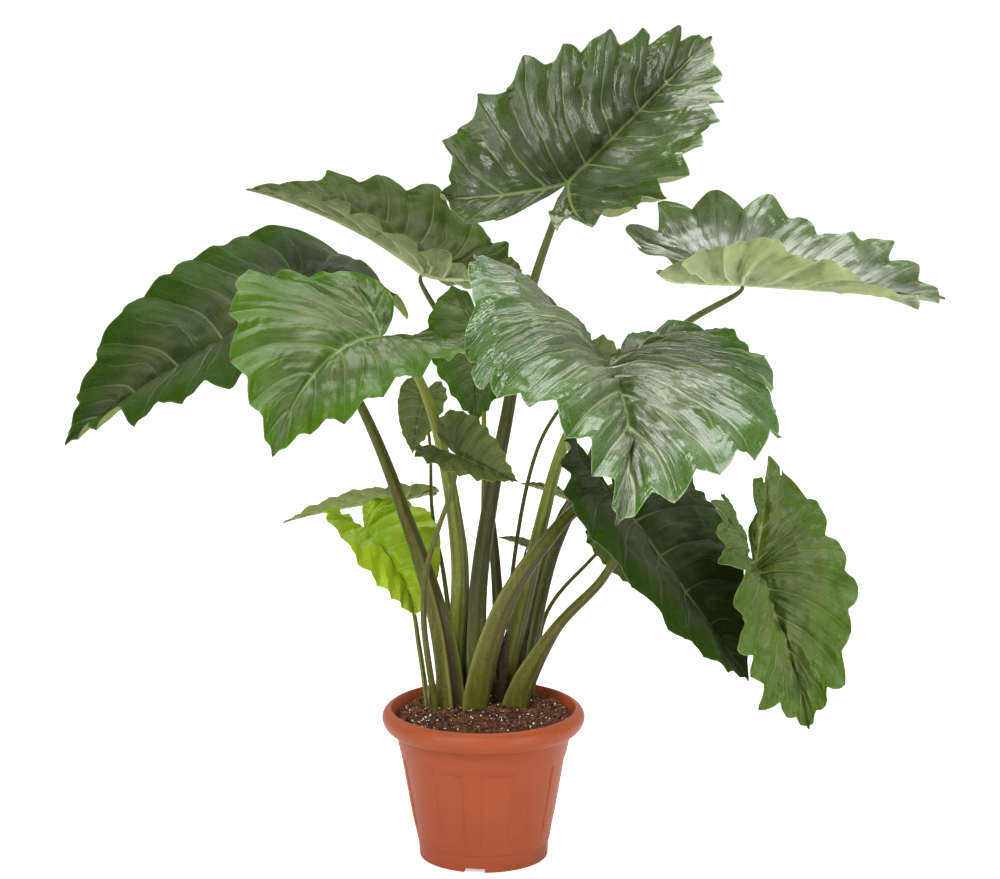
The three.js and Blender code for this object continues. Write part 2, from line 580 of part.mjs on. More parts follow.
function makePot() {
  const bodyFoot = POT.footRadius + 1.5;
  const bodyAt = (z) => interpolate([[POT.footTop, bodyFoot], [POT.bodyTop, POT.bodyRadius]], z);
  const outside = [
    [POT.baseRadius, 0],
    [POT.footRadius, POT.footTop - 2],
    [bodyFoot, POT.footTop],
    [bodyAt(RIB.bottom - RIB.proud), RIB.bottom - RIB.proud],
    [bodyAt(RIB.bottom), RIB.bottom],
    [bodyAt(RIB.top), RIB.top],
    [bodyAt(RIB.top + RIB.proud), RIB.top + RIB.proud],
    [POT.bodyRadius, POT.bodyTop - 2],
    [POT.bodyRadius + 2.5, POT.bodyTop],
    [POT.collarRadius, POT.collarTop],
    [POT.collarRadius + 9, POT.collarTop + 1],
    [POT.rimRadius - 3, POT.rimWidest - 9],
    [POT.rimRadius, POT.rimWidest],
    [POT.rimRadius - 2.5, POT.rimWidest + 8],
    [POT.rimRadius - 8, POT.height - 1],
    [POT.openingRadius + 2.5, POT.height],
    [POT.openingRadius, POT.height - 2],
  ];
  const ribRings = [4, 5];
  const step = radians(360 / RIB.count);
  const raised = (index, angle) => {
    if (!ribRings.includes(index)) return 0;
    const turns = (angle - radians(FIRST_RIB)) / step;
    const fromRib = Math.abs(turns - Math.round(turns)) * step;
    return fromRib < radians(RIB.halfAngle + RIB.edge / 2) ? RIB.proud : 0;
  };
  const shell = turnedBody([...outside, ...insideProfile()], potAngles(), raised);
  let pot = manifoldFrom(shell.vertices, shell.triangles);
  for (let k = 0; k < CHANNEL.count; k += 1) {
    const angle = radians(FIRST_RIB + (360 * k) / CHANNEL.count);
    const reach = POT.rimRadius - CHANNEL.inner;
    const channel = new THREE.BoxGeometry(CHANNEL.width, reach, 2 * CHANNEL.height)
      .translate(0, -(CHANNEL.inner + reach / 2), 0)
      .rotateZ(angle);
    const { drainRadius, drainSides } = CHANNEL;
    const drain = new THREE.CylinderGeometry(drainRadius, drainRadius, 4 * POT.floor, drainSides)
      .rotateX(Math.PI / 2)
      .translate(0, -CHANNEL.drainAt, 0)
      .rotateZ(angle);
    pot = pot.subtract(manifoldFromGeometry(channel)).subtract(manifoldFromGeometry(drain));
  }
  return geometryFromManifold(pot);
}

/** Height of the soil at a point: a low mound round the stalks, with lumps. */
function soilHeight(x, y) {
  const fromCrown = Math.hypot(x - CROWN[0], y - CROWN[1]) / POT.openingRadius;
  const mound = SOIL.mound * Math.max(0, 1 - fromCrown) ** 1.5;
  const lumps = Math.sin(0.13 * x + 1.2) * Math.cos(0.11 * y + 0.4) + Math.sin(0.31 * x - 0.23 * y) * 0.6;
  return SOIL.edge + mound + SOIL.lump * lumps * 0.6;
}

function makeSoil() {
  const walls = insideProfile().map(([radius, z]) => [radius - SOIL.clearance, z]);
  walls[walls.length - 1][1] += SOIL.clearance;
  const below = walls.slice(1).reverse();
  const wallPoints = [...walls].reverse().map(([radius, height]) => [height, radius]);
  const brimRadius = interpolate(wallPoints, SOIL.brim);
  const rings = Array.from({ length: SOIL.rings - 1 }, (_, index) => 1 - (index + 1) / SOIL.rings);
  const profile = [...below, [brimRadius, SOIL.brim], ...rings.map((share) => [brimRadius * share, 0])];
  const angles = Array.from({ length: SOIL.segments }, (_, index) => (2 * Math.PI * index) / SOIL.segments);
  const body = turnedBody(profile, angles, () => 0);
  const topFrom = (below.length + 1) * SOIL.segments;
  body.vertices.forEach((vertex, index) => {
    if (index < topFrom || index === body.vertices.length - 2) return;
    const lump = SOIL.lump * (seeded(SOIL.seed, index) - 0.5);
    vertex.z = soilHeight(vertex.x, vertex.y) + lump;
  });
  let soil = manifoldFrom(body.vertices, body.triangles);
  for (const leaf of LEAVES) {
    const hole = stalkBody(leaf, HOLE_CLEARANCE, STALK_SIDES[leaf.size], STALK_RINGS[leaf.size]);
    soil = soil.subtract(manifoldFrom(hole.vertices, hole.triangles));
  }
  return geometryFromManifold(soil);
}

// ---- Assembly ----
function material(name, color, roughness) {
  return new THREE.MeshStandardMaterial({ name, color, roughness, metalness: 0 });
}
const PLASTIC = material('terracotta_plastic', 0xc4633f, 0.6);
const EARTH = material('potting_soil', 0x3a241a, 0.95);
const YOUNG_LEAF = material('young_blade', 0x86ad22, 0.5);
const LEAF = material('leaf_blade', 0x3f6b2a, 0.4);
const STALK = material('leaf_stalk', 0x7b8a3c, 0.5);

const group = new THREE.Group();
group.name = 'potted_alocasia';

function addMesh(name, geometry, finish) {
  geometry.computeVertexNormals();
  const mesh = new THREE.Mesh(geometry, finish);
  mesh.name = name;
  group.add(mesh);
}

addMesh('pot', makePot(), PLASTIC);
addMesh('soil', makeSoil(), EARTH);
for (const leaf of LEAVES) {
  const blade = thicken(upperSheet(leaf));
  const stalk = stalkBody(leaf, 0, STALK_SIDES[leaf.size], STALK_RINGS[leaf.size]);
  const colour = leaf.name === 'leaf_young' ? YOUNG_LEAF : LEAF;
  addMesh(`${leaf.name}_blade`, geometryFrom(blade.vertices, blade.triangles), colour);
  addMesh(`${leaf.name}_stalk`, geometryFrom(stalk.vertices, stalk.triangles), STALK);
}

export default group;
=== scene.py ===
# %% [markdown]
# # A potted alocasia
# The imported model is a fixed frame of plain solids: a pot, soil, and a blade and a stalk for each of
# seventeen leaves. This lesson dresses it. Every blade, every stalk, the pot and the soil are worked out
# again as fine surfaces with numpy. Joints, tips and the paths of the stalks are those of the solids. The
# fine blades have more waves and other edges, a few of them fold or curl a little differently, and the pot
# has fewer channels and slightly wider ribs, all for the likeness. Then come the soil's grains, the
# finishes, the floor, the lights and the camera. Lengths are metres, +Z is up, and the front is -Y.

# %% Load the frame
import json
import math

import bpy
import numpy as np
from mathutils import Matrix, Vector

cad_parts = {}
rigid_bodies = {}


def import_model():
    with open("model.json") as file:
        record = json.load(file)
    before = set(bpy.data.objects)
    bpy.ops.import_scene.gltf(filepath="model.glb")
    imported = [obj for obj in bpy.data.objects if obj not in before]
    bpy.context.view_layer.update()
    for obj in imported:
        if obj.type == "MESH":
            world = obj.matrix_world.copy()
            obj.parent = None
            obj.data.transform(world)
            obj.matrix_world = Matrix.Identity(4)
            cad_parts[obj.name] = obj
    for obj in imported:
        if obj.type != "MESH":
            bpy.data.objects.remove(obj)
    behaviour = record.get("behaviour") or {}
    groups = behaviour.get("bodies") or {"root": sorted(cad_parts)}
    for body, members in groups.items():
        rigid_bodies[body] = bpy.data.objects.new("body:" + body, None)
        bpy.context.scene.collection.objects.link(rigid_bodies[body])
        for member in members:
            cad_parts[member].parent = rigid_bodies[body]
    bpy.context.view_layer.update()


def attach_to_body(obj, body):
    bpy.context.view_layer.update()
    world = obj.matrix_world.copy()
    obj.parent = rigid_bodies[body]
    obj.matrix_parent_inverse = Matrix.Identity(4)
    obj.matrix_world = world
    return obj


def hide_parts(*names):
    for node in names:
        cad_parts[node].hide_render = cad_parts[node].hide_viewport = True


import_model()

# %% [markdown]
# ## Camera
# The photograph was taken from about four and a half metres away and a metre and a half up, looking down a
# little. A long lens at that distance gives the same gentle perspective, and the same framing.

# %% Camera
CAMERA_PLACE = (0.022, -4.5, 1.546)
CAMERA_DOWN = math.radians(12.27)
SENSOR = 36.0
FOCAL_PIXELS = 3515.0
FRAME_PIXELS = 1000.0

camera_data = bpy.data.cameras.new("camera")
camera_data.sensor_width = SENSOR
camera_data.lens = FOCAL_PIXELS * SENSOR / FRAME_PIXELS
camera = bpy.data.objects.new("camera", camera_data)
camera.location = CAMERA_PLACE
camera.rotation_euler = (math.pi / 2 - CAMERA_DOWN, 0, 0)
bpy.context.scene.collection.objects.link(camera)
bpy.context.scene.camera = camera
bpy.context.scene.view_settings.view_transform = "Standard"
print("lens:", round(camera_data.lens, 1), "mm")

# %% [markdown]
# ## From arrays to a piece
# A surface is worked out as an array of points. These helpers make it a mesh object: points, triangles,
# values on the points, and a flat map for patterns. Each object stays at the origin, with its place in its
# points. The same mesh could be drawn by hand, but an array can be changed by one number and made again.

# %% Mesh helpers
MM = 0.001
TINY = 1e-12


def mesh_piece(name, points, faces, values=None, flat_map=None, sharp=50):
    """A mesh object from points (n, 3), faces (m, 3 or 4), named values and a flat map on the points.

    It is shaded smooth, and stays hard where two faces meet at more than the angle sharp, in degrees.
    """
    mesh = bpy.data.meshes.new(name)
    sides = faces.shape[1]
    mesh.vertices.add(len(points))
    mesh.vertices.foreach_set("co", np.ascontiguousarray(points, np.float32).ravel())
    mesh.loops.add(faces.size)
    mesh.loops.foreach_set("vertex_index", np.ascontiguousarray(faces, np.int32).ravel())
    mesh.polygons.add(len(faces))
    mesh.polygons.foreach_set("loop_start", np.arange(0, faces.size, sides, dtype=np.int32))
    mesh.update(calc_edges=True)
    for key, value in (values or {}).items():
        attribute = mesh.attributes.new(key, "FLOAT", "POINT")
        attribute.data.foreach_set("value", np.ascontiguousarray(value, np.float32).ravel())
    if flat_map is not None:
        layer = mesh.uv_layers.new(name="flat")
        layer.uv.foreach_set("vector", np.ascontiguousarray(flat_map[faces.ravel()], np.float32).ravel())
    mesh.polygons.foreach_set("use_smooth", np.ones(len(faces), bool))
    mesh.set_sharp_from_angle(angle=math.radians(sharp))
    mesh.validate()
    piece = bpy.data.objects.new(name, mesh)
    bpy.context.scene.collection.objects.link(piece)
    return piece


def hand_over(piece, slot, material, *nodes):
    """Gives a piece its finish, lets it ride on the one body, and hides the solids that it stands for."""
    piece.data.materials.append(material)
    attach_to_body(piece, "root")
    if nodes:
        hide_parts(*nodes)


def grid_faces(rows, columns, closed=False):
    """The quads of a grid, closed round its columns or not. Point (i, j) has the number i * columns + j."""
    i = np.arange(rows - 1)[:, None]
    j = np.arange(columns if closed else columns - 1)[None, :]
    k = (j + 1) % columns
    corners = [i * columns + j, i * columns + k, (i + 1) * columns + k, (i + 1) * columns + j]
    return np.stack([corner + 0 * (i + j) for corner in corners], -1).reshape(-1, 4)


def smoothstep(x, low, high):
    """0 below low, 1 above high, and a smooth rise between."""
    u = np.clip((x - low) / (high - low), 0, 1)
    return u * u * (3 - 2 * u)


def unit(vectors):
    """Vectors of length one."""
    return vectors / np.maximum(np.linalg.norm(vectors, axis=-1, keepdims=True), TINY)


def full_circle(count):
    """Evenly spaced angles, from 0 to just under a whole turn."""
    return np.linspace(0, 2 * math.pi, count, endpoint=False)


SEED_STEP, INDEX_STEP, SCATTER = 12.9898, 78.233, 43758.5453
START_SEEDS = 100


def seeded(seed, index):
    """A repeatable number from 0 to 1 for each seed and index: the digits behind the point of a huge sine."""
    wave = np.sin(seed * SEED_STEP + index * INDEX_STEP) * SCATTER
    return wave - np.floor(wave)


def ripples(x, y, lengths, seed):
    """A rough height of about -1 to 1: a sum of sine waves in chance directions, the longer ones higher."""
    total = 0
    for index, length in enumerate(lengths):
        turn = 2 * math.pi * seeded(seed, index)
        start = 2 * math.pi * seeded(seed, index + START_SEEDS)
        along = x * math.cos(turn) + y * math.sin(turn)
        total = total + length * np.sin(2 * math.pi * along / length + start)
    return total / np.sqrt(np.sum(np.square(lengths)))


print("quads of a grid of 3 by 4 points:", len(grid_faces(3, 4)))


# %% [markdown]
# ## The leaves' table
# An alocasia leaf is arrow-shaped: a midrib from the stalk to the tip, two halves, and two lobes behind the
# stalk. Each row says where the stalk joins and where the tip is, where the upper side looks, and how the
# midrib, the halves and the lobes bend. Places are millimetres and angles are degrees, as in the solids.

# %% The leaves
LARGE, MEDIUM, SMALL = "large", "medium", "small"


def leaf_row(name, tone, size, attach, tip, face, arch, twist, width, fold, curl, lobes, waves, path, widths,
             gather=1.25, peaks=(0, 0), ragged=(1, 1), lobed=0.5, open_tip=0, roll=0, spike=0.006,
             crumple=1, pleated=1, growth=1.4):
    """One leaf as a dictionary. Pairs are (left half, right half).

    attach, tip   where the stalk joins and where the midrib ends
    face          where the upper side looks: its compass angle from the front, and its height
    arch, twist   how far the midrib bends from end to end, and turns about itself
    width         of each half, as a share of the plain outline's
    fold, curl    the angle at which a half leaves the midrib, and how much it bends towards its edge
    lobes         the lobes' own folds, pitches and lengths
    waves         heights of the edge's waves and scallops, as shares of the leaf, and the seed
    path, widths  the stalk's points above the soil, and its widths at the foot, in the middle and at the top
    gather        how closely the side veins start together at the stalk
    peaks         the share of the waves that stand on the veins, and not between them
    ragged        how deep the scallops are
    lobed         how many scallops are blunt bows and not points: 0 for few, 1 for nearly all
    open_tip      how much of the fold opens towards the tip
    roll          how far the tip half turns about the midrib
    spike         the length of the threads in which some veins end
    crumple       the strength of quilts, creases and buckles
    pleated       the strength of the pleats
    growth        how steeply the waves grow towards the edge
    """
    lobe_fold, lobe_pitch, lobe_length = lobes
    wave, scallop, seed = waves
    return {
        "name": name, "tone": tone, "size": size, "attach": attach, "tip": tip, "face": face, "arch": arch,
        "twist": twist, "width": width, "fold": fold, "curl": curl, "lobe_fold": lobe_fold,
        "lobe_pitch": lobe_pitch, "lobe_length": lobe_length, "wave": wave, "scallop": scallop, "seed": seed,
        "path": path, "widths": widths, "gather": gather, "peaks": peaks, "ragged": ragged, "lobed": lobed,
        "open_tip": open_tip, "roll": roll, "spike": spike, "crumple": crumple, "pleated": pleated,
        "growth": growth,
    }


LEVEL = ((0, 0), (0, 0))
LEAVES = [
    leaf_row("leaf_top", "glossy", LARGE, (110, 40, 900), (305, 200, 1075), (-5, 15), -5, 5,
             (1.05, 1.25), (30, 45), (5, 10), ((-10, 0), (20, 30), (1.2, 0.75)), (0.045, 0.05, 21),
             [(-8, 50, 200), (-7, 48, 350), (9, 44, 476), (29, 42, 580), (61, 40, 752), (94, 45, 854)],
             (26, 22, 9), peaks=(0.8, 0), ragged=(2.1, 1.1), open_tip=0.7, spike=0.014, crumple=1.1,
             pleated=1.3),
    leaf_row("leaf_right_back", "silvery", LARGE, (345, 120, 755), (615, 110, 735), (0, 80), 0, 0,
             (1, 0.9), (20, 15), (10, 55), ((0, -15), (-10, -10), (0.9, 0.65)), (0.06, 0.06, 36),
             [(52, 52, 200), (89, 80, 384), (132, 95, 486), (156, 105, 544), (209, 115, 644),
              (273, 120, 702)],
             (22, 18, 8), peaks=(0.75, 0.15), ragged=(1.3, 1.8), lobed=0.4, roll=35, growth=1.8, gather=1.5),
    leaf_row("leaf_left_back", "greyed", LARGE, (-80, 140, 765), (-325, 260, 860), (-5, 120), 25, -15,
             (0.75, 1), (8, 45), (-25, 0), ((15, -5), (10, 40), (0.55, 0.8)), (0.035, 0.045, 3),
             [(18, 66, 200), (18, 85, 329), (6, 110, 460), (-21, 130, 615), (-50, 138, 690)],
             (15, 12, 7), peaks=(0, 0.6), ragged=(0.8, 1.5)),
    leaf_row("leaf_left_far", "dark", LARGE, (-245, 110, 725), (-560, 90, 540), (-10, 110), 15, -25,
             (1.1, 1.1), (0, 55), (-50, -20), ((-40, -65), (-60, -45), (0.6, 0.6)), (0.035, 0.045, 4),
             [(-45, 25, 200), (-60, 40, 305), (-105, 70, 450), (-160, 95, 585), (-220, 108, 685)],
             (32, 20, 9), lobed=1, ragged=(1.6, 1.3), crumple=0.6, growth=2.4),
    leaf_row("leaf_left_front", "fresh", LARGE, (-130, -110, 725), (-255, -320, 615), (-35, 40), 65, -30,
             (0.9, 1.3), (-15, 30), (15, -15), ((-15, 10), (5, 55), (0.75, 0.8)), (0.03, 0.045, 5),
             [(-38, 56, 200), (-37, 52, 260), (-32, 22, 399), (-56, -30, 573), (-83, -75, 665),
              (-110, -97, 708)],
             (25, 22, 9), gather=2, lobed=1, ragged=(0.9, 0.8), pleated=1.2, growth=2),
    leaf_row("leaf_centre", "bloomed", LARGE, (155, -140, 690), (160, -425, 555), (45, 0), 35, 5,
             (1.4, 1.2), (75, 0), (-40, -95), ((35, 25), (50, -30), (0.4, 1.15)), (0.035, 0.05, 37),
             [(26, 44, 200), (62, 30, 375), (80, 10, 466), (104, -50, 570), (136, -115, 652)],
             (22, 20, 10), gather=2.8, lobed=1, ragged=(1.3, 1.5), crumple=1.1, pleated=2),
    leaf_row("leaf_right_low", "dark", LARGE, (175, -30, 495), (350, -40, 250), (-5, 20), 40, 10,
             (1.3, 1), (-45, 75), (-25, -15), ((50, 10), (-20, 20), (0.65, 0.6)), (0.02, 0.035, 7),
             [(46, 25, 200), (95, 15, 305), (158, -10, 383), (182, -20, 438)],
             (32, 16, 9)),
    leaf_row("leaf_right_hang", "clear", LARGE, (360, 20, 385), (435, 5, 170), (25, 25), 30, 65,
             (1.05, 1.15), (15, 60), (-25, -15), ((10, -40), (45, 25), (0.9, 1)), (0.025, 0.045, 8),
             [(-11, 15, 200), (18, 0, 320), (50, -10, 387), (82, -8, 432), (125, 25, 470), (208, 95, 485),
              (290, 128, 450), (345, 70, 408)],
             (36, 20, 8), gather=2.3, lobed=1, ragged=(1.7, 1.7), crumple=1.8, pleated=1.6),
    leaf_row("leaf_young", "young", MEDIUM, (-160, 125, 415), (-95, 110, 300), (10, 40), 110, 40,
             (1.2, 0.75), (15, 35), (-50, 0), ((15, 0), (0, 10), (0.5, 0.5)), (0.035, 0.045, 9),
             [(-77, 40, 200), (-88, 95, 260), (-100, 145, 310), (-135, 175, 375), (-158, 158, 402)],
             (7, 6, 5), crumple=1.6),
    leaf_row("leaf_inner_right", "dull", MEDIUM, (-35, -80, 565), (45, -105, 535), (-10, 10), 20, 0,
             (1.2, 1.1), (10, 60), (-10, 10), (*LEVEL, (0.75, 0.9)), (0.035, 0.04, 10),
             [(-65, 10, 200), (-79, 0, 320), (-74, -28, 400), (-58, -48, 460), (-39, -68, 520)],
             (9, 8, 6)),
    leaf_row("leaf_inner_left", "dull", SMALL, (-80, 95, 600), (-95, 85, 530), (-20, 10), 20, 0,
             (0.9, 0.9), (20, 20), (-20, -20), (*LEVEL, (0.7, 0.7)), (0.03, 0.04, 11),
             [(-36, 76, 200), (-55, 140, 350), (-70, 158, 430), (-72, 125, 530), (-78, 108, 585)],
             (7, 6, 4)),
    leaf_row("leaf_inner_mid", "fresh", MEDIUM, (-5, 100, 690), (-10, 70, 575), (-10, 30), 30, 0,
             (1.1, 1.1), (15, 15), (-20, -20), (*LEVEL, (0.9, 0.9)), (0.035, 0.045, 12),
             [(-2, 84, 200), (0, 95, 400), (0, 108, 600), (-4, 112, 670)],
             (9, 8, 6)),
    leaf_row("leaf_back_mid", "dull", MEDIUM, (140, 60, 645), (155, 40, 570), (10, 50), 20, 0,
             (1.1, 1.1), (20, 20), (0, 0), ((0, 0), (10, 10), (1, 1)), (0.04, 0.045, 13),
             [(32, 68, 200), (38, 92, 358), (76, 74, 549), (125, 68, 625)],
             (7, 6, 5)),
    leaf_row("leaf_back_wisp", "dull", SMALL, (115, 200, 440), (50, 190, 465), (0, 85), 10, 0,
             (0.5, 0.5), (20, 20), (0, 0), (*LEVEL, (0.6, 0.6)), (0.03, 0.04, 14),
             [(36, 82, 200), (63, 140, 327), (103, 190, 420)],
             (6, 5, 4)),
    leaf_row("leaf_low_wisp", "dull", SMALL, (60, 170, 380), (20, 165, 395), (0, 75), 10, 0,
             (0.6, 0.6), (20, 20), (0, 0), (*LEVEL, (0.6, 0.6)), (0.03, 0.04, 15),
             [(10, 96, 200), (30, 130, 290), (55, 165, 365)],
             (6, 5, 3.5)),
    leaf_row("leaf_behind", "dull", SMALL, (175, 150, 400), (215, 140, 325), (0, 20), 20, 0,
             (0.8, 0.8), (20, 20), (-10, -10), (*LEVEL, (0.6, 0.6)), (0.03, 0.04, 16),
             [(66, 66, 200), (86, 110, 304), (145, 150, 366), (170, 158, 390)],
             (8, 6, 5)),
    leaf_row("leaf_edge_on", "dull", MEDIUM, (-117, 215, 435), (-278, 205, 405), (0, 105), 15, 0,
             (0.55, 0.55), (20, 20), (0, 0), (*LEVEL, (0.6, 0.6)), (0.03, 0.04, 17),
             [(-60, 54, 200), (-72, 140, 310), (-102, 205, 412)],
             (7, 6, 4)),
]
print("leaves:", len(LEAVES))

# %% [markdown]
# ## A flat leaf
# Before it is bent, a half lies flat, with s along the midrib and t out to the side, in lengths of the
# midrib. A column number c walks round the half: from the tip (0) back to the stalk (5.6), out along the
# lobe's rib (9) and home along the lobe's inner edge (13). A share v then runs from the rib (0) out to the
# edge (1). A drawn outline filled with faces would show its veins crossing the faces: here every vein is a
# line of the grid.

# %% The flat outline
def softened(x, round_off):
    """The size of x from 0 to 1, with its sharp corner at 0 rounded off."""
    return (np.sqrt(x**2 + round_off**2) - round_off) / (math.sqrt(1 + round_off**2) - round_off)


STALK_COLUMN, LOBE_COLUMN, LAST_COLUMN = 5.6, 9.0, 13.0
LOBE_RIB = np.array([-0.5, 0.285])
LOBE_REACH = 0.5
HALF_WIDTH = 0.5
SWELL_CENTRE = 0.12
VEIN_ARC = 0.05
NO_BEND = 1e-4
EDGE = np.array([
    (1.02, -0.03), (1, 0), (0.95, 0.03), (0.84, 0.12), (0.68, 0.245), (0.48, 0.37), (0.26, 0.46),
    (0.02, 0.515), (-0.22, 0.515), (-0.43, 0.44), (-0.56, 0.31), (-0.54, 0.19), (-0.4, 0.1), (-0.2, 0.045),
    (0, 0), (0.2, 0),
])
VEIN_CROWDING, ROW_CROWDING = 0.6, 0.55
MARGIN_ROWS = (0.98, 0.99, 1)
VEINS = np.r_[1.2, 2.1, 3, 3.9, 4.8, np.linspace(STALK_COLUMN, LOBE_COLUMN, 4),
              np.linspace(LOBE_COLUMN, LAST_COLUMN, 4)[1:3]]
MARKS = np.r_[0, VEINS, LAST_COLUMN]


def crowded(count, pull):
    """Shares from 0 to just under 1 that crowd at both ends: x less a sine wave."""
    x = np.arange(count) / count
    return x - pull * np.sin(2 * math.pi * x) / (2 * math.pi)


def fine_columns(steps):
    """Column numbers with so many steps between two veins, closest at the veins."""
    stretch = np.diff(MARKS)[:, None]
    return np.r_[(MARKS[:-1, None] + stretch * crowded(steps, VEIN_CROWDING)).ravel(), LAST_COLUMN]


def fine_rows(count):
    """Shares from the rib to the edge, closest at both, with two extra rows for the thin pale margin."""
    return np.r_[crowded(count, ROW_CROWDING) * MARGIN_ROWS[0], MARGIN_ROWS]


def edge_points(c):
    """The smooth curve through the points of EDGE (a Catmull-Rom spline) at the columns c."""
    k = np.clip(np.floor(c).astype(int), 0, len(EDGE) - 4)
    u = (c - k)[..., None]
    a, b, d, e = (EDGE[k + step] for step in range(4))
    square = 2 * a - 5 * b + 4 * d - e
    cube = 3 * b - a - 3 * d + e
    point = 0.5 * (2 * b + (d - a) * u + square * u**2 + cube * u**3)
    return point[..., 0], point[..., 1]


LOBE_GATHER, VEIN_LEAN = 0.5, 1.35


def rib_points(c, gather):
    """The point of the midrib or of the lobe's rib from which a column runs out, drawn towards the stalk.

    A power of the share that is left draws it there: the higher the power, the closer the veins start.
    """
    out = (c - STALK_COLUMN) / (LOBE_COLUMN - STALK_COLUMN)
    home = (LAST_COLUMN - c) / (LAST_COLUMN - LOBE_COLUMN)
    lobe = np.clip(np.minimum(out, home), 0, 1) ** (1 + LOBE_GATHER * gather)
    midrib = (1 - np.clip(c / STALK_COLUMN, 0, 1) ** VEIN_LEAN) ** gather
    return midrib + lobe * LOBE_RIB[0], lobe * LOBE_RIB[1]


def vein_phase(c):
    """Counts the veins: a whole number on each vein, and straight between."""
    return np.interp(c, MARKS, np.arange(len(MARKS)))


# %% [markdown]
# ### The scalloped edge
# The edge swells out at the end of each side vein. Some swellings are blunt bows and some are points, no
# two are of one size, and now and then a vein runs on into a short thread. Chance numbers choose, but from
# a fixed seed for each leaf, so that a leaf comes out the same each time.

# %% The scalloped edge
TIP_FADE, HOME_FADE = 3, 2.5
SCALLOP_LEAST, SCALLOP_SPREAD = 0.6, 0.7
SCALLOP_HEIGHT, SCALLOP_MEAN = 1.3, 0.6
POINT_ROUNDING, BOW_ROUNDING, BOW_POWER = 0.2, 0.25, 0.8
NIBBLE, NIBBLE_LENGTHS = 0.3, [1.9, 0.83, 0.47, 0.31]
THREAD_WIDTH = 0.035
BOW_SEEDS, THREAD_SEEDS = 130, 170
ARC_GROWS, ARC_END, ARC_FADE = 2, 7.5, 1.9


def half_index(side):
    """Which of a pair belongs to a side: 0 for the left half (side 1), 1 for the right half (side -1)."""
    return 0 if side > 0 else 1


def thread_share(leaf, vein):
    """From 0 to 1 for each vein: whether it ends in a thread, and has a dry spot there."""
    return smoothstep(seeded(leaf["seed"], vein + THREAD_SEEDS), 0.3, 0.7)


def flat_leaf(leaf, c, v, side):
    """Flat points (s, t): from the rib towards the edge, which swells out at each vein.

    The swelling is a point (a softened sine of the vein count) or a bow (a softened cosine), or between them.
    """
    rib_s, rib_t = rib_points(c, leaf["gather"])
    edge_s, edge_t = edge_points(c)
    phase = vein_phase(c)
    nearest = np.floor(phase + 0.5)
    fade = smoothstep(np.minimum(c / TIP_FADE, (LAST_COLUMN - c) / HOME_FADE), 0, 1)
    size = SCALLOP_LEAST + SCALLOP_SPREAD * seeded(leaf["seed"], nearest)
    pointed = 1 - softened(np.sin(math.pi * phase), POINT_ROUNDING)
    bowed = softened(np.cos(math.pi * phase), BOW_ROUNDING) ** BOW_POWER
    blunt = smoothstep(seeded(leaf["seed"], np.floor(phase) + BOW_SEEDS) + leaf["lobed"] - 0.5, 0.2, 0.8)
    nibble = NIBBLE * ripples(c, 0 * c, NIBBLE_LENGTHS, leaf["seed"] + 5)
    scallop = leaf["scallop"] * leaf["ragged"][half_index(side)]
    outline = SCALLOP_HEIGHT * size * (pointed + blunt * (bowed - pointed)) - SCALLOP_MEAN + nibble
    thread = thread_share(leaf, nearest) * fade * np.exp(-(((phase - nearest) / THREAD_WIDTH) ** 2))
    swell = 1 + scallop * fade * outline
    swell = swell + leaf["spike"] * thread
    edge_s = SWELL_CENTRE + (edge_s - SWELL_CENTRE) * swell
    edge_t = edge_t * swell
    before_stalk, behind_stalk = np.clip(c / ARC_GROWS, 0, 1), np.clip((ARC_END - c) / ARC_FADE, 0, 1)
    vein_bow = VEIN_ARC * np.where(c <= STALK_COLUMN, before_stalk, behind_stalk) * np.sin(math.pi * v)
    return rib_s + (edge_s - rib_s) * v - vein_bow, rib_t + (edge_t - rib_t) * v


print("side veins on each half:", len(VEINS))

# %% [markdown]
# ## Relief
# The blade waves more and more towards its edge. Close to, each field between two veins is a small quilt:
# the veins lie in grooves, the midrib in a gutter, and fine creases and pleats cross the fields. All of it
# is one height over the flat leaf, so it bends with the leaf. A bump in the finish alone would leave the
# outline smooth.

# %% The large waves
WAVE_SHARPNESS, WAVE_FADE, WAVE_HOME = 1.2, 2.6, 2
CREST_HEIGHT, CREST_LEAST, CREST_SPREAD = 2.0, 0.3, 1.2
VEIN_TILT = 0.8
WAVE_SEEDS, TILT_SEEDS, CREST_SEEDS = 60, 90, 30


def wave_height(leaf, c, v, side):
    """The waves of the edge: between the veins and on them, in the shares that the leaf's peaks give.

    Each is a power of a sine of the vein count, or of its cosine on the veins, and has its own chance height.
    All of them grow as a power of v.
    """
    phase = vein_phase(c)
    nearest = np.floor(phase + 0.5)
    between = np.abs(np.sin(math.pi * phase)) ** WAVE_SHARPNESS
    fade = np.clip(np.minimum(c / WAVE_FADE, (LAST_COLUMN - c) / WAVE_HOME), 0, 1)
    seed = leaf["seed"] + 40 * side
    size = 0.5 + seeded(seed, np.floor(phase) + WAVE_SEEDS)
    on_vein = np.abs(np.cos(math.pi * phase))
    tilt = (seeded(seed, nearest + TILT_SEEDS) - 0.5) * on_vein
    crest = CREST_HEIGHT * (CREST_LEAST + CREST_SPREAD * seeded(seed, nearest + CREST_SEEDS))
    peaks = leaf["peaks"][half_index(side)]
    lift = (1 - peaks) * size * between + peaks * (crest * on_vein**WAVE_SHARPNESS)
    return leaf["wave"] * fade * v ** leaf["growth"] * (lift + VEIN_TILT * tilt * v)


print("tallest waves:", max(leaf["wave"] for leaf in LEAVES), "of the midrib")

# %% [markdown]
# ### Fine relief
# Each kind of unevenness is one short formula, and their sum is added to the waves. Pleats are folds with
# straight sides, where waves would look soft. Sculpting would be freer, but it would have to be done for
# every leaf.

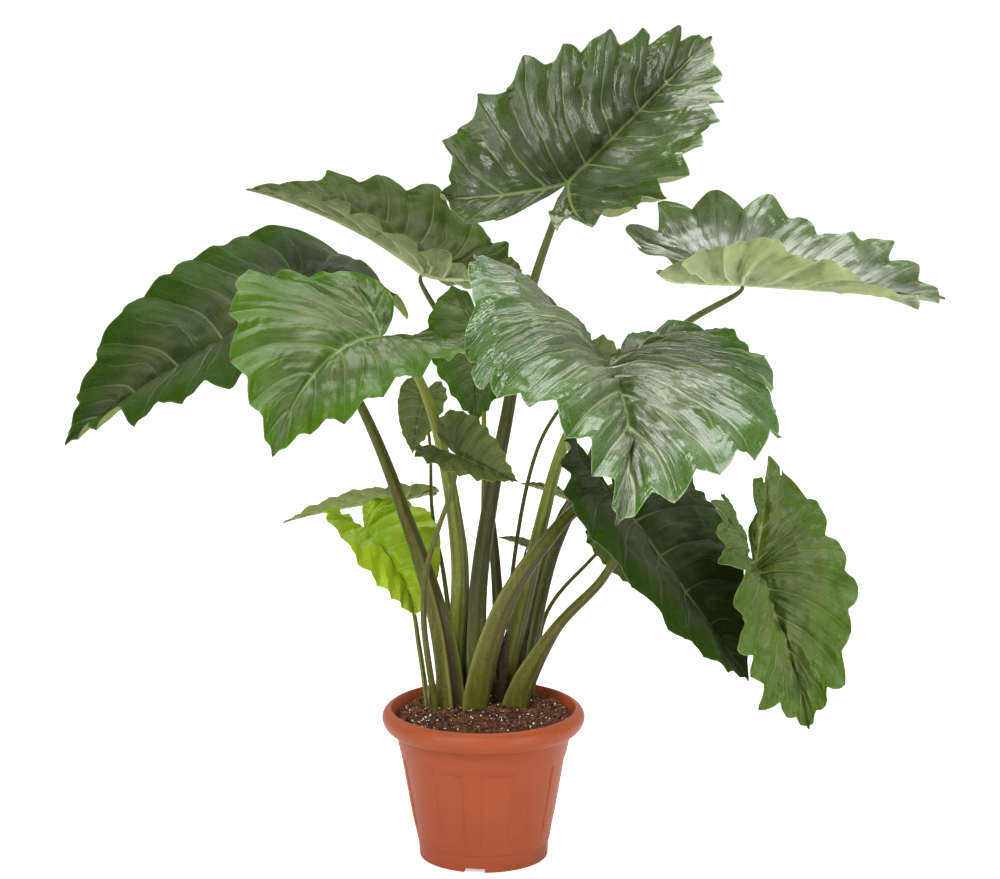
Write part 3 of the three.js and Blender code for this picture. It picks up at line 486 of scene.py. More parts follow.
# %% The fine relief
QUILT, QUILT_ROUNDNESS = 0.016, 0.4
GROOVE, GROOVE_WIDTH = 0.005, 0.008
GUTTER, GUTTER_WIDTH = 0.006, 0.02
PLEATS = [(2, 0.0105), (3, 0.0075), (5, 0.003)]
PLEAT_DRIFT, PLEAT_JUMP, PLEAT_SHARPNESS = 1.6, 6, 0.95
CREASE, CREASE_LENGTH, CREASE_WANDER = 0.0022, 0.042, 0.012
BUCKLE, BUCKLE_LENGTHS = 0.009, [0.31, 0.24, 0.17, 0.13, 0.09, 0.06]
RUFFLE, RUFFLE_SEEDS = 0.3, 20
RELIEF_FADE, RELIEF_HOME, RELIEF_ROOM = 2.2, 1.5, 0.28


def pleat_height(phase, v, seed):
    """Pleats that run out beside the veins: waves in the vein count that drift and come and go along v.

    The arcsine of a sine makes each wave a fold with straight sides and a slightly rounded ridge.
    """
    total = 0
    for count, height in PLEATS:
        drift = PLEAT_DRIFT * np.sin(2 * math.pi * (0.7 * v + seeded(seed, count)))
        drift = drift + PLEAT_JUMP * seeded(seed, np.floor(phase) + count)
        patch = 0.5 + 0.5 * np.sin(2 * math.pi * (1.3 * v + 0.37 * phase + seeded(seed, 7 * count)))
        fold = np.arcsin(PLEAT_SHARPNESS * np.sin(2 * math.pi * count * phase + drift))
        total = total + height * patch * (fold / math.asin(PLEAT_SHARPNESS))
    return total * np.sin(math.pi * phase) ** 2


def fine_relief(leaf, c, v, s, t, from_vein, from_rib, side):
    """Quilts, vein grooves, the gutter of the midrib, pleats, creases, slow buckles and ruffles at the edge.

    A groove falls off with the distance to its vein, the gutter is a bell curve of the distance to its rib,
    and the rest are waves. All of it fades out at the tip, at the stalk and where the blade is narrow.
    """
    phase = vein_phase(c)
    seed = leaf["seed"] + 7 * side
    between = np.sin(math.pi * phase) ** 2
    fade = np.clip(np.minimum(c / RELIEF_FADE, (LAST_COLUMN - c) / RELIEF_HOME), 0, 1)
    off_rib = np.clip(v * 6, 0, 1)
    quilt = QUILT * between**QUILT_ROUNDNESS * off_rib * (1 - 0.7 * v)
    groove = -GROOVE * np.exp(-from_vein / GROOVE_WIDTH) * off_rib * (1 - 0.6 * v)
    gutter = GUTTER * (1 - np.exp(-((from_rib / GUTTER_WIDTH) ** 2))) * (1 - 0.8 * np.clip(s, 0, 1))
    along = np.hypot(s - s[:, :1], t - t[:, :1])
    bent = along + CREASE_WANDER * ripples(s, t, [0.2, 0.13, 0.09], seed + 3)
    patch = np.clip(0.5 + ripples(s, t, [0.27, 0.19, 0.12], seed + 4), 0, 1.5)
    crease = CREASE * np.sin(2 * math.pi * bent / CREASE_LENGTH) * between * off_rib * patch
    buckle = BUCKLE * ripples(s, t, BUCKLE_LENGTHS, seed) * off_rib
    size = seeded(seed, np.floor(phase) + RUFFLE_SEEDS) - 0.5
    ruffle = RUFFLE * leaf["wave"] * size * np.sin(4 * math.pi * phase) * v**5
    pleats = pleat_height(phase, v, seed) * off_rib * (1 - 0.5 * v)
    room = np.clip(along[:, -1:] / RELIEF_ROOM, 0, 1)
    crumpled = leaf["crumple"] * (quilt + crease + buckle) + leaf["pleated"] * pleats
    return fade * room * (groove + gutter + ruffle + crumpled)


print("kinds of pleat:", len(PLEATS))

# %% [markdown]
# ## Bending
# The flat leaf is bent into place in four steps, all of them arcs: the midrib arches from the stalk to the
# tip and turns about itself, the lobes take their own pitch, each half folds up from the midrib, and curls
# further towards its edge. An arc keeps the length of the midrib and of the lines across it, as a real leaf
# does. Modifiers could bend a drawn leaf too, but one way at a time, and each leaf would need its own set
# of them.

# %% Bending into place
def leaf_frame(leaf):
    """The joint; directions along the midrib, to its left and out of its upper side; its arch and length.

    The upper side looks as nearly as it can along the leaf's face, square to the line from joint to tip.
    """
    attach = np.array(leaf["attach"], float)
    along = np.array(leaf["tip"], float) - attach
    chord = np.linalg.norm(along)
    along = along / chord
    compass, height = np.radians(leaf["face"])
    level = math.cos(height)
    up = np.array([math.sin(compass) * level, -math.cos(compass) * level, math.sin(height)])
    up = unit(up - up.dot(along) * along)
    arch = math.radians(leaf["arch"]) or NO_BEND
    midrib = chord * arch / (2 * math.sin(arch / 2))
    return attach, along, np.cross(up, along), up, arch, midrib


def placed(leaf, side, s, t, raised):
    """Where flat points of one side (1 left, -1 right) lie, raised by shares of the midrib, in metres.

    x and y are the point of the arched midrib or lobe: the sine and the cosine of its slope, over its bend.
    sideways and upwards are the point of the curled half: the same formulas, with the angle at its own t.
    """
    attach, along, left, up, arch, midrib = leaf_frame(leaf)
    half = half_index(side)
    run = np.where(s < 0, s * leaf["lobe_length"][half], s)
    lobe_bend = NO_BEND - math.radians(leaf["lobe_pitch"][half]) / LOBE_REACH
    bend = np.where(s < 0, lobe_bend, arch)
    slope = arch / 2 - bend * run
    x = midrib * (math.sin(arch / 2) - np.sin(slope)) / bend
    y = midrib * (np.cos(slope) - math.cos(arch / 2)) / bend
    normal = np.cos(slope)[..., None] * up - np.sin(slope)[..., None] * along
    turn = np.radians(leaf["twist"] * run + leaf["roll"] * smoothstep(run, 0.4, 1))[..., None]
    across = np.cos(turn) * left + np.sin(turn) * normal
    above = np.cos(turn) * normal - np.sin(turn) * left
    fold = np.radians(leaf["fold"][half] + leaf["lobe_fold"][half] * np.clip(-run, 0, 1) / LOBE_REACH)
    fold = fold * (1 - leaf["open_tip"] * smoothstep(run, 0.5, 1))
    curl = (math.radians(leaf["curl"][half]) or 10 * NO_BEND) / HALF_WIDTH
    angle = fold + curl * t * leaf["width"][half]
    sideways = (np.sin(angle) - np.sin(fold)) / curl - raised * np.sin(angle)
    upwards = (np.cos(fold) - np.cos(angle)) / curl + raised * np.cos(angle)
    place = attach + x[..., None] * along + y[..., None] * up
    place = place + midrib * (side * sideways[..., None] * across + upwards[..., None] * above)
    return place * MM


print("longest midrib:", round(max(leaf_frame(leaf)[-1] for leaf in LEAVES)), "mm")


# %% [markdown]
# ## Blades
# The upper side is one sheet of both halves, whose shared points along the ribs are merged. A copy of it,
# moved down by the thickness, is the underside, and a narrow band closes the edge. The midrib and the side
# veins stand out under the leaf. Values on the points say where the veins and the margin are, for the
# finish. A Solidify modifier alone would give one thickness, while a leaf thins to its edge and thickens at
# its veins.

# %% Half of the upper side
STEPS = {LARGE: 22, MEDIUM: 12, SMALL: 7}
ROWS = {LARGE: 34, MEDIUM: 18, SMALL: 10}
VEIN_WIDTH, VEIN_STRENGTH = 0.0056, 0.85
MIDRIB_WIDTH, MIDRIB_TAPER = 0.011, 0.008
LOBE_RIB_WIDTH, LOBE_RIB_TAPER = 0.0085, 0.011
MARGIN_WIDTH, INNER_FROM = 0.005, 0.2
DRY_TIP, DRY_WIDTH, DRY_DEPTH = (0.975, 0.995), 0.05, 0.012


def bell(distance, width):
    """1 at no distance, falling off as a bell curve of a given width."""
    return np.exp(-((distance / width) ** 2))


def vein_distances(c, v, s, t):
    """Flat distances to the nearest side vein, to the midrib and to the lobe's rib.

    The first is the distance in the vein count, times the width of one count: the area of a step of the grid
    over its length along the vein and its step in the count. The ribs are straight lines in the flat leaf.
    """
    phase = vein_phase(c) + 0 * v
    ds_c, dt_c = (np.gradient(a, axis=0) for a in (s, t))
    ds_v, dt_v = (np.gradient(a, axis=1) for a in (s, t))
    dp = np.maximum(np.gradient(phase, axis=0), 1e-9)
    per_vein = np.abs(ds_c * dt_v - dt_c * ds_v) / np.maximum(np.hypot(ds_v, dt_v), 1e-9) / dp
    inner = np.clip(np.floor(phase + 0.5), 1, len(MARKS) - 2)
    from_vein = np.abs(phase - inner) * per_vein
    from_midrib = np.where(s >= 0, np.abs(t), np.hypot(s, t))
    rib_length = np.linalg.norm(LOBE_RIB)
    rib = LOBE_RIB / rib_length
    reach = np.clip(s * rib[0] + t * rib[1], 0, rib_length)
    from_lobe_rib = np.hypot(s - reach * rib[0], t - reach * rib[1])
    return from_vein, from_midrib, from_lobe_rib


def dry_spots(leaf, c, s, from_edge):
    """1 where the leaf has dried: at its very tip, and in a small spot at the ends of some veins."""
    phase = vein_phase(c)
    end = np.floor(phase + 0.5)
    some = thread_share(leaf, end) * np.clip(c, 0, 1)
    spot = some * np.exp(-(((phase - end) / DRY_WIDTH) ** 2) - (from_edge / DRY_DEPTH) ** 2)
    return np.maximum(spot, smoothstep(s, *DRY_TIP))


def half_sheet(leaf, side):
    """One half of the upper side: a grid of points, with the values that the finish and the thickness need.

    Each vein and rib is a bell curve of its distance. Side veins narrow towards the edge, ribs to their ends.
    """
    c = fine_columns(STEPS[leaf["size"]])[:, None]
    v = fine_rows(ROWS[leaf["size"]])[None, :]
    s, t = flat_leaf(leaf, c, v, side)
    from_vein, from_midrib, from_lobe_rib = vein_distances(c, v, s, t)
    from_rib = np.minimum(from_midrib, from_lobe_rib)
    raised = wave_height(leaf, c, v, side) + fine_relief(leaf, c, v, s, t, from_vein, from_rib, side)
    points = placed(leaf, side, s, t, raised * (v > 0))
    side_vein = bell(from_vein, VEIN_WIDTH * (1 - 0.5 * v)) * np.clip(1.45 - v, 0, 1)
    midrib = bell(from_midrib, MIDRIB_WIDTH - MIDRIB_TAPER * np.clip(s, 0, 1))
    lobe_rib = bell(from_lobe_rib, LOBE_RIB_WIDTH - LOBE_RIB_TAPER * np.clip(-s, 0, 0.6))
    rib = np.maximum(midrib, lobe_rib)
    from_edge = (1 - v) * np.hypot(s[:, -1:] - s[:, :1], t[:, -1:] - t[:, :1])
    values = {
        "vein": np.maximum(rib, VEIN_STRENGTH * side_vein),
        "margin": bell(from_edge, MARGIN_WIDTH),
        "outward": v + 0 * c,
        "fan": vein_phase(c) + 0 * v,
        "dry": dry_spots(leaf, c, s, from_edge),
        "rib": rib,
        "inner": np.clip(from_edge / INNER_FROM, 0, 1),
    }
    flat = np.stack([s, side * t], -1)
    return points, values, flat


print("columns of a large half:", len(fine_columns(STEPS[LARGE])), "rows:", len(fine_rows(ROWS[LARGE])))

# %% [markdown]
# ### Closing a blade
# The two halves become one sheet, and the sheet and its lower copy one closed body. Points that lie in the
# same place are merged, so the light runs on over the midrib. Two separate halves would be easier to make,
# but a line would show where they meet.

# %% Making a blade
BLADE_THICKNESS, EDGE_THICKNESS = 1.0 * MM, 0.6 * MM
KEEL, VEIN_RIDGE, RIDGES_FOR = 3.0 * MM, 1.8 * MM, 300
MERGE_WITHIN = 1e-3 * MM


def merged_halves(leaf):
    """The upper side as one sheet: points, faces, values and flat map, with the points along the ribs merged.

    Points that round to the same place become one, and a triangle that loses a side to that is left out.
    """
    halves = [half_sheet(leaf, side) for side in (1, -1)]
    rows, columns = halves[0][0].shape[:2]
    quads = grid_faces(rows, columns)
    quads = np.vstack([quads, quads[:, ::-1] + rows * columns])
    points = np.concatenate([half[0].reshape(-1, 3) for half in halves])
    rounded_places = np.round(points / MERGE_WITHIN).astype(np.int64)
    _, first, back = np.unique(rounded_places, axis=0, return_index=True, return_inverse=True)
    values = {key: np.concatenate([half[1][key].ravel() for half in halves])[first] for key in halves[0][1]}
    flat = np.concatenate([half[2].reshape(-1, 2) for half in halves])[first]
    corners = back.ravel()[quads]
    faces = np.vstack([corners[:, [0, 1, 2]], corners[:, [0, 2, 3]]])
    a, b, d = faces.T
    return points[first], faces[(a != b) & (b != d) & (d != a)], values, flat


def point_normals(points, faces):
    """The direction out of the sheet at each point: the sum of its faces' normals, weighted by area."""
    areas = np.cross(points[faces[:, 1]] - points[faces[:, 0]], points[faces[:, 2]] - points[faces[:, 0]])
    normals = np.zeros_like(points)
    for corner in range(3):
        np.add.at(normals, faces[:, corner], areas)
    return unit(normals)


def closed_sheet(faces, count):
    """The faces of a sheet of count points, of its turned copy below, and of the band between their edges.

    An edge with no partner that runs the other way lies on the border, and gets two triangles of the band.
    """
    edges = np.vstack([faces[:, [0, 1]], faces[:, [1, 2]], faces[:, [2, 0]]])
    lone = edges[~np.isin(edges[:, 0] * count + edges[:, 1], edges[:, 1] * count + edges[:, 0])]
    band = np.vstack([
        np.stack([lone[:, 0], lone[:, 0] + count, lone[:, 1] + count], -1),
        np.stack([lone[:, 0], lone[:, 1] + count, lone[:, 1]], -1),
    ])
    return np.vstack([faces, faces[:, ::-1] + count, band])


def blade(leaf, material, slot):
    """A closed blade: the sheet, and a copy of it that lies deeper, joined by a band.

    Its depth is a thickness, which falls off in the last quarter before the edge, plus the ridges of the
    veins and the keel of the ribs, which are higher on a longer leaf and fade out at the edge.
    """
    points, faces, values, flat = merged_halves(leaf)
    midrib = leaf_frame(leaf)[-1]
    before_edge = np.clip(4 - 4 * values["outward"], 0, 1)
    thickness = EDGE_THICKNESS + (BLADE_THICKNESS - EDGE_THICKNESS) * before_edge
    keel = KEEL * values["rib"] * np.clip(1 - np.hypot(flat[:, 0], flat[:, 1]), 0, 1)
    depth = thickness + midrib / RIDGES_FOR * (keel + VEIN_RIDGE * values["vein"]) * values["inner"]
    under = points - point_normals(points, faces) * depth[:, None]
    both = {key: np.tile(value, 2) for key, value in values.items()}
    both["upper"] = np.repeat([1.0, 0.0], len(points))
    name = leaf["name"] + "_blade"
    piece = mesh_piece(name + "_fine", np.vstack([points, under]), closed_sheet(faces, len(points)), both,
                       np.tile(flat * midrib * MM, (2, 1)))
    hand_over(piece, slot, material, name)


print("thickness between the veins:", EDGE_THICKNESS, "to", BLADE_THICKNESS, "m")

# %% [markdown]
# ## Stalks
# A stalk is a tube along a smooth path. Near the soil it is a flat sheath, open on its inner side, whose
# two thin wings once wrapped the next leaf. Above it is round with a shallow groove, and under the blade it
# narrows. A curve with a bevel would give the path and the widths, but one cross-section from end to end.
# Here every ring has its own, from a formula in the angle.

# %% Paths and tubes
PATH_STEPS = 60


def smooth_path(points, count):
    """Evenly spaced points of a curve through the given ones (a centripetal Catmull-Rom spline)."""
    points = np.array(points, float)
    points = np.vstack([2 * points[0] - points[1], points, 2 * points[-1] - points[-2]])
    gaps = np.sqrt(np.linalg.norm(np.diff(points, axis=0), axis=1))
    u = np.linspace(0, 1, PATH_STEPS, endpoint=False)[:, None]
    pieces = []
    for k in range(1, len(points) - 2):
        a, b, d, e = points[k - 1:k + 3]
        before, here, after = gaps[k - 1:k + 2]
        leave = ((b - a) / before - (d - a) / (before + here) + (d - b) / here) * here
        arrive = ((d - b) / here - (e - b) / (here + after) + (e - d) / after) * here
        square = 3 * (d - b) - 2 * leave - arrive
        cube = 2 * (b - d) + leave + arrive
        pieces.append(b + leave * u + square * u**2 + cube * u**3)
    dense = np.vstack([*pieces, points[-2:-1]])
    run = np.r_[0, np.cumsum(np.linalg.norm(np.diff(dense, axis=0), axis=1))]
    even = np.linspace(0, run[-1], count)
    return np.stack([np.interp(even, run, dense[:, axis]) for axis in range(3)], -1), run[-1]


def carried_directions(path):
    """Two directions across the path, square to each other, carried along it so that the tube doesn't turn.

    At each ring the first is the one before it, less its part along the path, made one long again.
    """
    tangents = unit(np.gradient(path, axis=0))
    wide = np.array([1.0, 0, 0])
    carried = []
    for tangent in tangents:
        wide = unit(wide - wide.dot(tangent) * tangent)
        carried.append(wide)
    carried = np.array(carried)
    return carried, np.cross(tangents, carried)


def tube_points(path, x, y):
    """The points of a tube: x and y across the path at each ring, and the path's two ends to close it."""
    wide, deep = carried_directions(path)
    rings = path[:, None] + x[..., None] * wide[:, None] + y[..., None] * deep[:, None]
    return np.vstack([rings.reshape(-1, 3), path[:1], path[-1:]])


def tube_faces(rings, sides):
    """The triangles of a tube of rings, closed by a point at either end that follow the rings' points."""
    count = rings * sides
    ring = np.arange(sides)
    after = (ring + 1) % sides
    caps = np.vstack([
        np.stack([0 * ring + count, after, ring], -1),
        np.stack([0 * ring + count + 1, count - sides + ring, count - sides + after], -1),
    ])
    quads = grid_faces(rings, sides, closed=True)
    return np.vstack([quads[:, [0, 1, 2]], quads[:, [0, 2, 3]], caps])


print("faces of a tube of 3 rings with 8 sides:", len(tube_faces(3, 8)))

# %% [markdown]
# ### A stalk's cross-section
# Each ring is an ellipse with the stalk's width and depth at that height. A groove draws it in on its inner
# side and two wings push it out beside the groove, both most strongly in the sheath. Wings as thin sheets of
# their own would be truer, but one closed tube has no seams.

# %% Making a stalk
STALK_BURIED, JOINT_DEPTH = 28, 2.2
SHEATH_TOP, ROUND_FROM, NARROWS_FROM, TOP_TAPER = 0.12, 0.4, 0.96, 0.6
FLATNESS = [0.5, 0.55, 0.85, 0.95]
SMOOTHED_OVER = 9
SHEATH_END, SHEATH_FADE, SHEATH_POWER = ROUND_FROM + 0.08, 0.3, 0.7
GROOVE_DEPTH, HOLLOW_DEPTH, HOLLOW_WIDTH = 0.10, 0.35, 0.5
WING_HEIGHT, WING_AT, WING_WIDTH, WING_LINE = 0.4, 0.78, 0.16, 0.14
STALK_RIDGES, RIDGE_HEIGHT = 11, 0.012
RINGS = {LARGE: 110, MEDIUM: 70, SMALL: 60}
SIDES = {LARGE: 56, MEDIUM: 32, SMALL: 28}


def stalk_top(leaf):
    """Where a stalk ends, inside the blade's keel, and the direction down from there, between the halves."""
    attach, along, left, up, arch, _ = leaf_frame(leaf)
    fold_left, fold_right = np.radians(leaf["fold"])
    normal = math.cos(arch / 2) * up - math.sin(arch / 2) * along
    below = -normal * (math.cos(fold_left) + math.cos(fold_right))
    below = unit(below + left * (math.sin(fold_left) - math.sin(fold_right)))
    return attach + below * JOINT_DEPTH, below


def smoothed(values):
    """A line of values, each the weighted mean of its neighbours, with weights that fall off as a cosine."""
    weights = np.hanning(SMOOTHED_OVER)[1:-1] / np.hanning(SMOOTHED_OVER).sum()
    return np.convolve(np.pad(values, len(weights) // 2, "edge"), weights, "valid")


def stalk_girth(leaf, u):
    """Half width and half depth along the stalk, straight between a few stations, and then smoothed."""
    foot, middle, end = leaf["widths"]
    sheath = foot * 0.85 + middle * 0.15
    stations = [0, SHEATH_TOP, ROUND_FROM, NARROWS_FROM, 1]
    half_width = smoothed(np.interp(u, stations, [foot, sheath, middle, end, end * TOP_TAPER]) / 2)
    return half_width, half_width * smoothed(np.interp(u, [0, SHEATH_TOP, ROUND_FROM, 1], FLATNESS))


def stalk(leaf, material):
    """A tube that reaches out at each angle by 1, less a groove on the inner side, plus two wings beside it.

    Groove and wings are bell curves of the angle from the inner side, strong in the sheath and weak above it.
    """
    rings, sides = RINGS[leaf["size"]], SIDES[leaf["size"]]
    top, below = stalk_top(leaf)
    foot = np.array(leaf["path"][0], float)
    buried = foot - [0, 0, STALK_BURIED]
    path, length = smooth_path([buried, *leaf["path"], top + below * leaf["widths"][2], top], rings)
    wide, deep = carried_directions(path)
    u = np.linspace(0, 1, rings)
    half_width, half_depth = stalk_girth(leaf, u)
    lean = np.array(leaf["attach"], float) - foot
    inward = unit(np.array([-lean[0], -lean[1], 0.6 * np.hypot(lean[0], lean[1])]))
    opening = np.arctan2((deep @ inward) / half_depth, (wide @ inward) / half_width)[:, None]
    around = full_circle(sides)[None, :]
    turn = np.angle(np.exp(1j * (around - opening)))
    sheathed = np.clip((SHEATH_END - u) / SHEATH_FADE, 0, 1)[:, None] ** SHEATH_POWER
    groove = (GROOVE_DEPTH + HOLLOW_DEPTH * sheathed) * bell(turn, HOLLOW_WIDTH)
    from_wing = np.abs(turn) - WING_AT
    wing = WING_HEIGHT * sheathed * bell(from_wing, WING_WIDTH)
    ribbed = RIDGE_HEIGHT * np.sin(STALK_RIDGES * around + leaf["seed"]) * (1 - sheathed)
    reach = 1 - groove + wing + ribbed
    x = half_width[:, None] * np.cos(around) * reach
    y = half_depth[:, None] * np.sin(around) * reach
    edge_line = bell(from_wing, WING_LINE) * sheathed
    values = {
        "height": np.r_[np.broadcast_to(u[:, None], turn.shape).ravel(), 0, 1],
        "wing": np.r_[edge_line.ravel(), 0, 0],
        "hollow": np.r_[np.broadcast_to(groove, turn.shape).ravel(), 0, 0],
        "round_x": np.r_[np.tile(np.cos(around), (rings, 1)).ravel(), 0, 0],
        "round_y": np.r_[np.tile(np.sin(around), (rings, 1)).ravel(), 0, 0],
    }
    flat = np.stack(np.broadcast_arrays(around / (2 * math.pi), u[:, None] * length * MM), -1).reshape(-1, 2)
    flat = np.vstack([flat, [[0, 0], [0, length * MM]]])
    name = leaf["name"] + "_stalk"
    piece = mesh_piece(name + "_fine", tube_points(path, x, y) * MM, tube_faces(rings, sides), values, flat)
    hand_over(piece, "leaf_stalk", material, name)


print("points in a large stalk:", RINGS[LARGE] * SIDES[LARGE] + 2)


# %% [markdown]
# ## Finishes
# Each finish is a Principled BSDF, fed by node groups that are built once: one for the leaf's skin and one
# for the stalk's. Groups and links could be drawn by hand in the shader editor. A small helper keeps them
# just as readable in text.

# %% Node helpers
class Tree:
    """A node tree that is built in short lines: add a node, and join sockets by name."""

    def __init__(self, tree):
        self.tree = tree

    def add(self, kind, values=None, **settings):
        """A node with its settings; a value that is a socket is joined, and any other is set."""
        node = self.tree.nodes.new(kind)
        for key, value in settings.items():
            setattr(node, key, value)
        for key, value in (values or {}).items():
            if isinstance(value, bpy.types.NodeSocket):
                self.join(value, node.inputs[key])
            else:
                node.inputs[key].default_value = value
        return node

    def math(self, operation, a, b=0.0, clamp=False):
        """One sum of two values."""
        node = self.add("ShaderNodeMath", {0: a, 1: b}, operation=operation, use_clamp=clamp)
        return node.outputs[0]

    def mix(self, share, a, b):
        """Colour a, and a share of colour b."""
        node = self.add("ShaderNodeMix", {"Factor": share, 6: a, 7: b}, data_type="RGBA")
        return node.outputs[2]

    def ramp(self, value, low, high, to_low=0.0, to_high=1.0):
        """to_low where the value is below low, to_high where it is above high, and smooth between."""
        values = {"Value": value, "From Min": low, "From Max": high, "To Min": to_low, "To Max": to_high}
        return self.add("ShaderNodeMapRange", values, interpolation_type="SMOOTHSTEP").outputs[0]

    def noise(self, place, scale, detail=3.0, rough=0.55, stretch=None):
        """Cloudy noise, mostly from 0.2 to 0.8, with about scale clouds to each unit of its place."""
        if stretch is not None:
            place = self.add("ShaderNodeMapping", {"Vector": place, "Scale": stretch}).outputs[0]
        values = {"Vector": place, "Scale": scale, "Detail": detail, "Roughness": rough}
        return self.add("ShaderNodeTexNoise", values).outputs["Fac"]

    def value(self, name):
        """A named value of the points."""
        return self.add("ShaderNodeAttribute", attribute_name=name).outputs["Fac"]

    def flat_map(self):
        """The piece's own flat map."""
        return self.add("ShaderNodeUVMap", uv_map="flat").outputs[0]

    def place(self):
        """Coordinates on the piece, in metres."""
        return self.add("ShaderNodeTexCoord").outputs["Object"]

    def join(self, source, target):
        """Joins two sockets."""
        self.tree.links.new(source, target)


def rgb(red, green, blue):
    """A colour with full alpha."""
    return (red, green, blue, 1.0)


def new_group(name, inputs, outputs):
    """A shader node group with named inputs and outputs, ready to be filled."""
    group = bpy.data.node_groups.new(name, "ShaderNodeTree")
    for socket, value in inputs.items():
        kind = "NodeSocketColor" if isinstance(value, tuple) else "NodeSocketFloat"
        group.interface.new_socket(socket, in_out="INPUT", socket_type=kind).default_value = value
    for socket, kind in outputs.items():
        group.interface.new_socket(socket, in_out="OUTPUT", socket_type=kind)
    tree = Tree(group)
    return group, tree, tree.add("NodeGroupInput").outputs, tree.add("NodeGroupOutput").inputs


def finish_with(name, group, values, **shader_values):
    """A Principled BSDF whose colour, roughness and normal come from a group with values of its own."""
    material = bpy.data.materials.new(name)
    material.use_nodes = True
    material.node_tree.nodes.clear()
    tree = Tree(material.node_tree)
    pattern = tree.add("ShaderNodeGroup", node_tree=group)
    for key, value in values.items():
        pattern.inputs[key].default_value = value
    linked = {key: pattern.outputs[key] for key in ("Base Color", "Roughness", "Normal")}
    shader = tree.add("ShaderNodeBsdfPrincipled", {**linked, **shader_values})
    tree.add("ShaderNodeOutputMaterial", {"Surface": shader.outputs[0]})
    return material


SKIN_OUTPUTS = {"Base Color": "NodeSocketColor", "Roughness": "NodeSocketFloat", "Normal": "NodeSocketVector"}
print("what every skin puts out:", ", ".join(SKIN_OUTPUTS))

# %% [markdown]
# ### Leaf skin
# The upper side is deep green, clouded with a lighter green, yellower towards the edge, with pale veins and
# a thin pale margin. A greyish painted sheen lies in patches on the inner part, which stands in for the
# bright backdrop mirrored at a low angle, and darker streaks run out beside the veins. The underside is a
# pale, matt green, a little darker between its veins. A faint net of cells, like that of the smallest veins,
# tints the upper side, and streaks and grain give both sides a fine relief. A painted picture could hold all
# this, but only for one leaf. The group works it out from the values on the points, so it fits every blade.

# %% Leaf skin group
VEIN_BENEATH, DRIED = (0.6, 0.66, 0.36, 1.0), (0.08, 0.05, 0.02, 1.0)


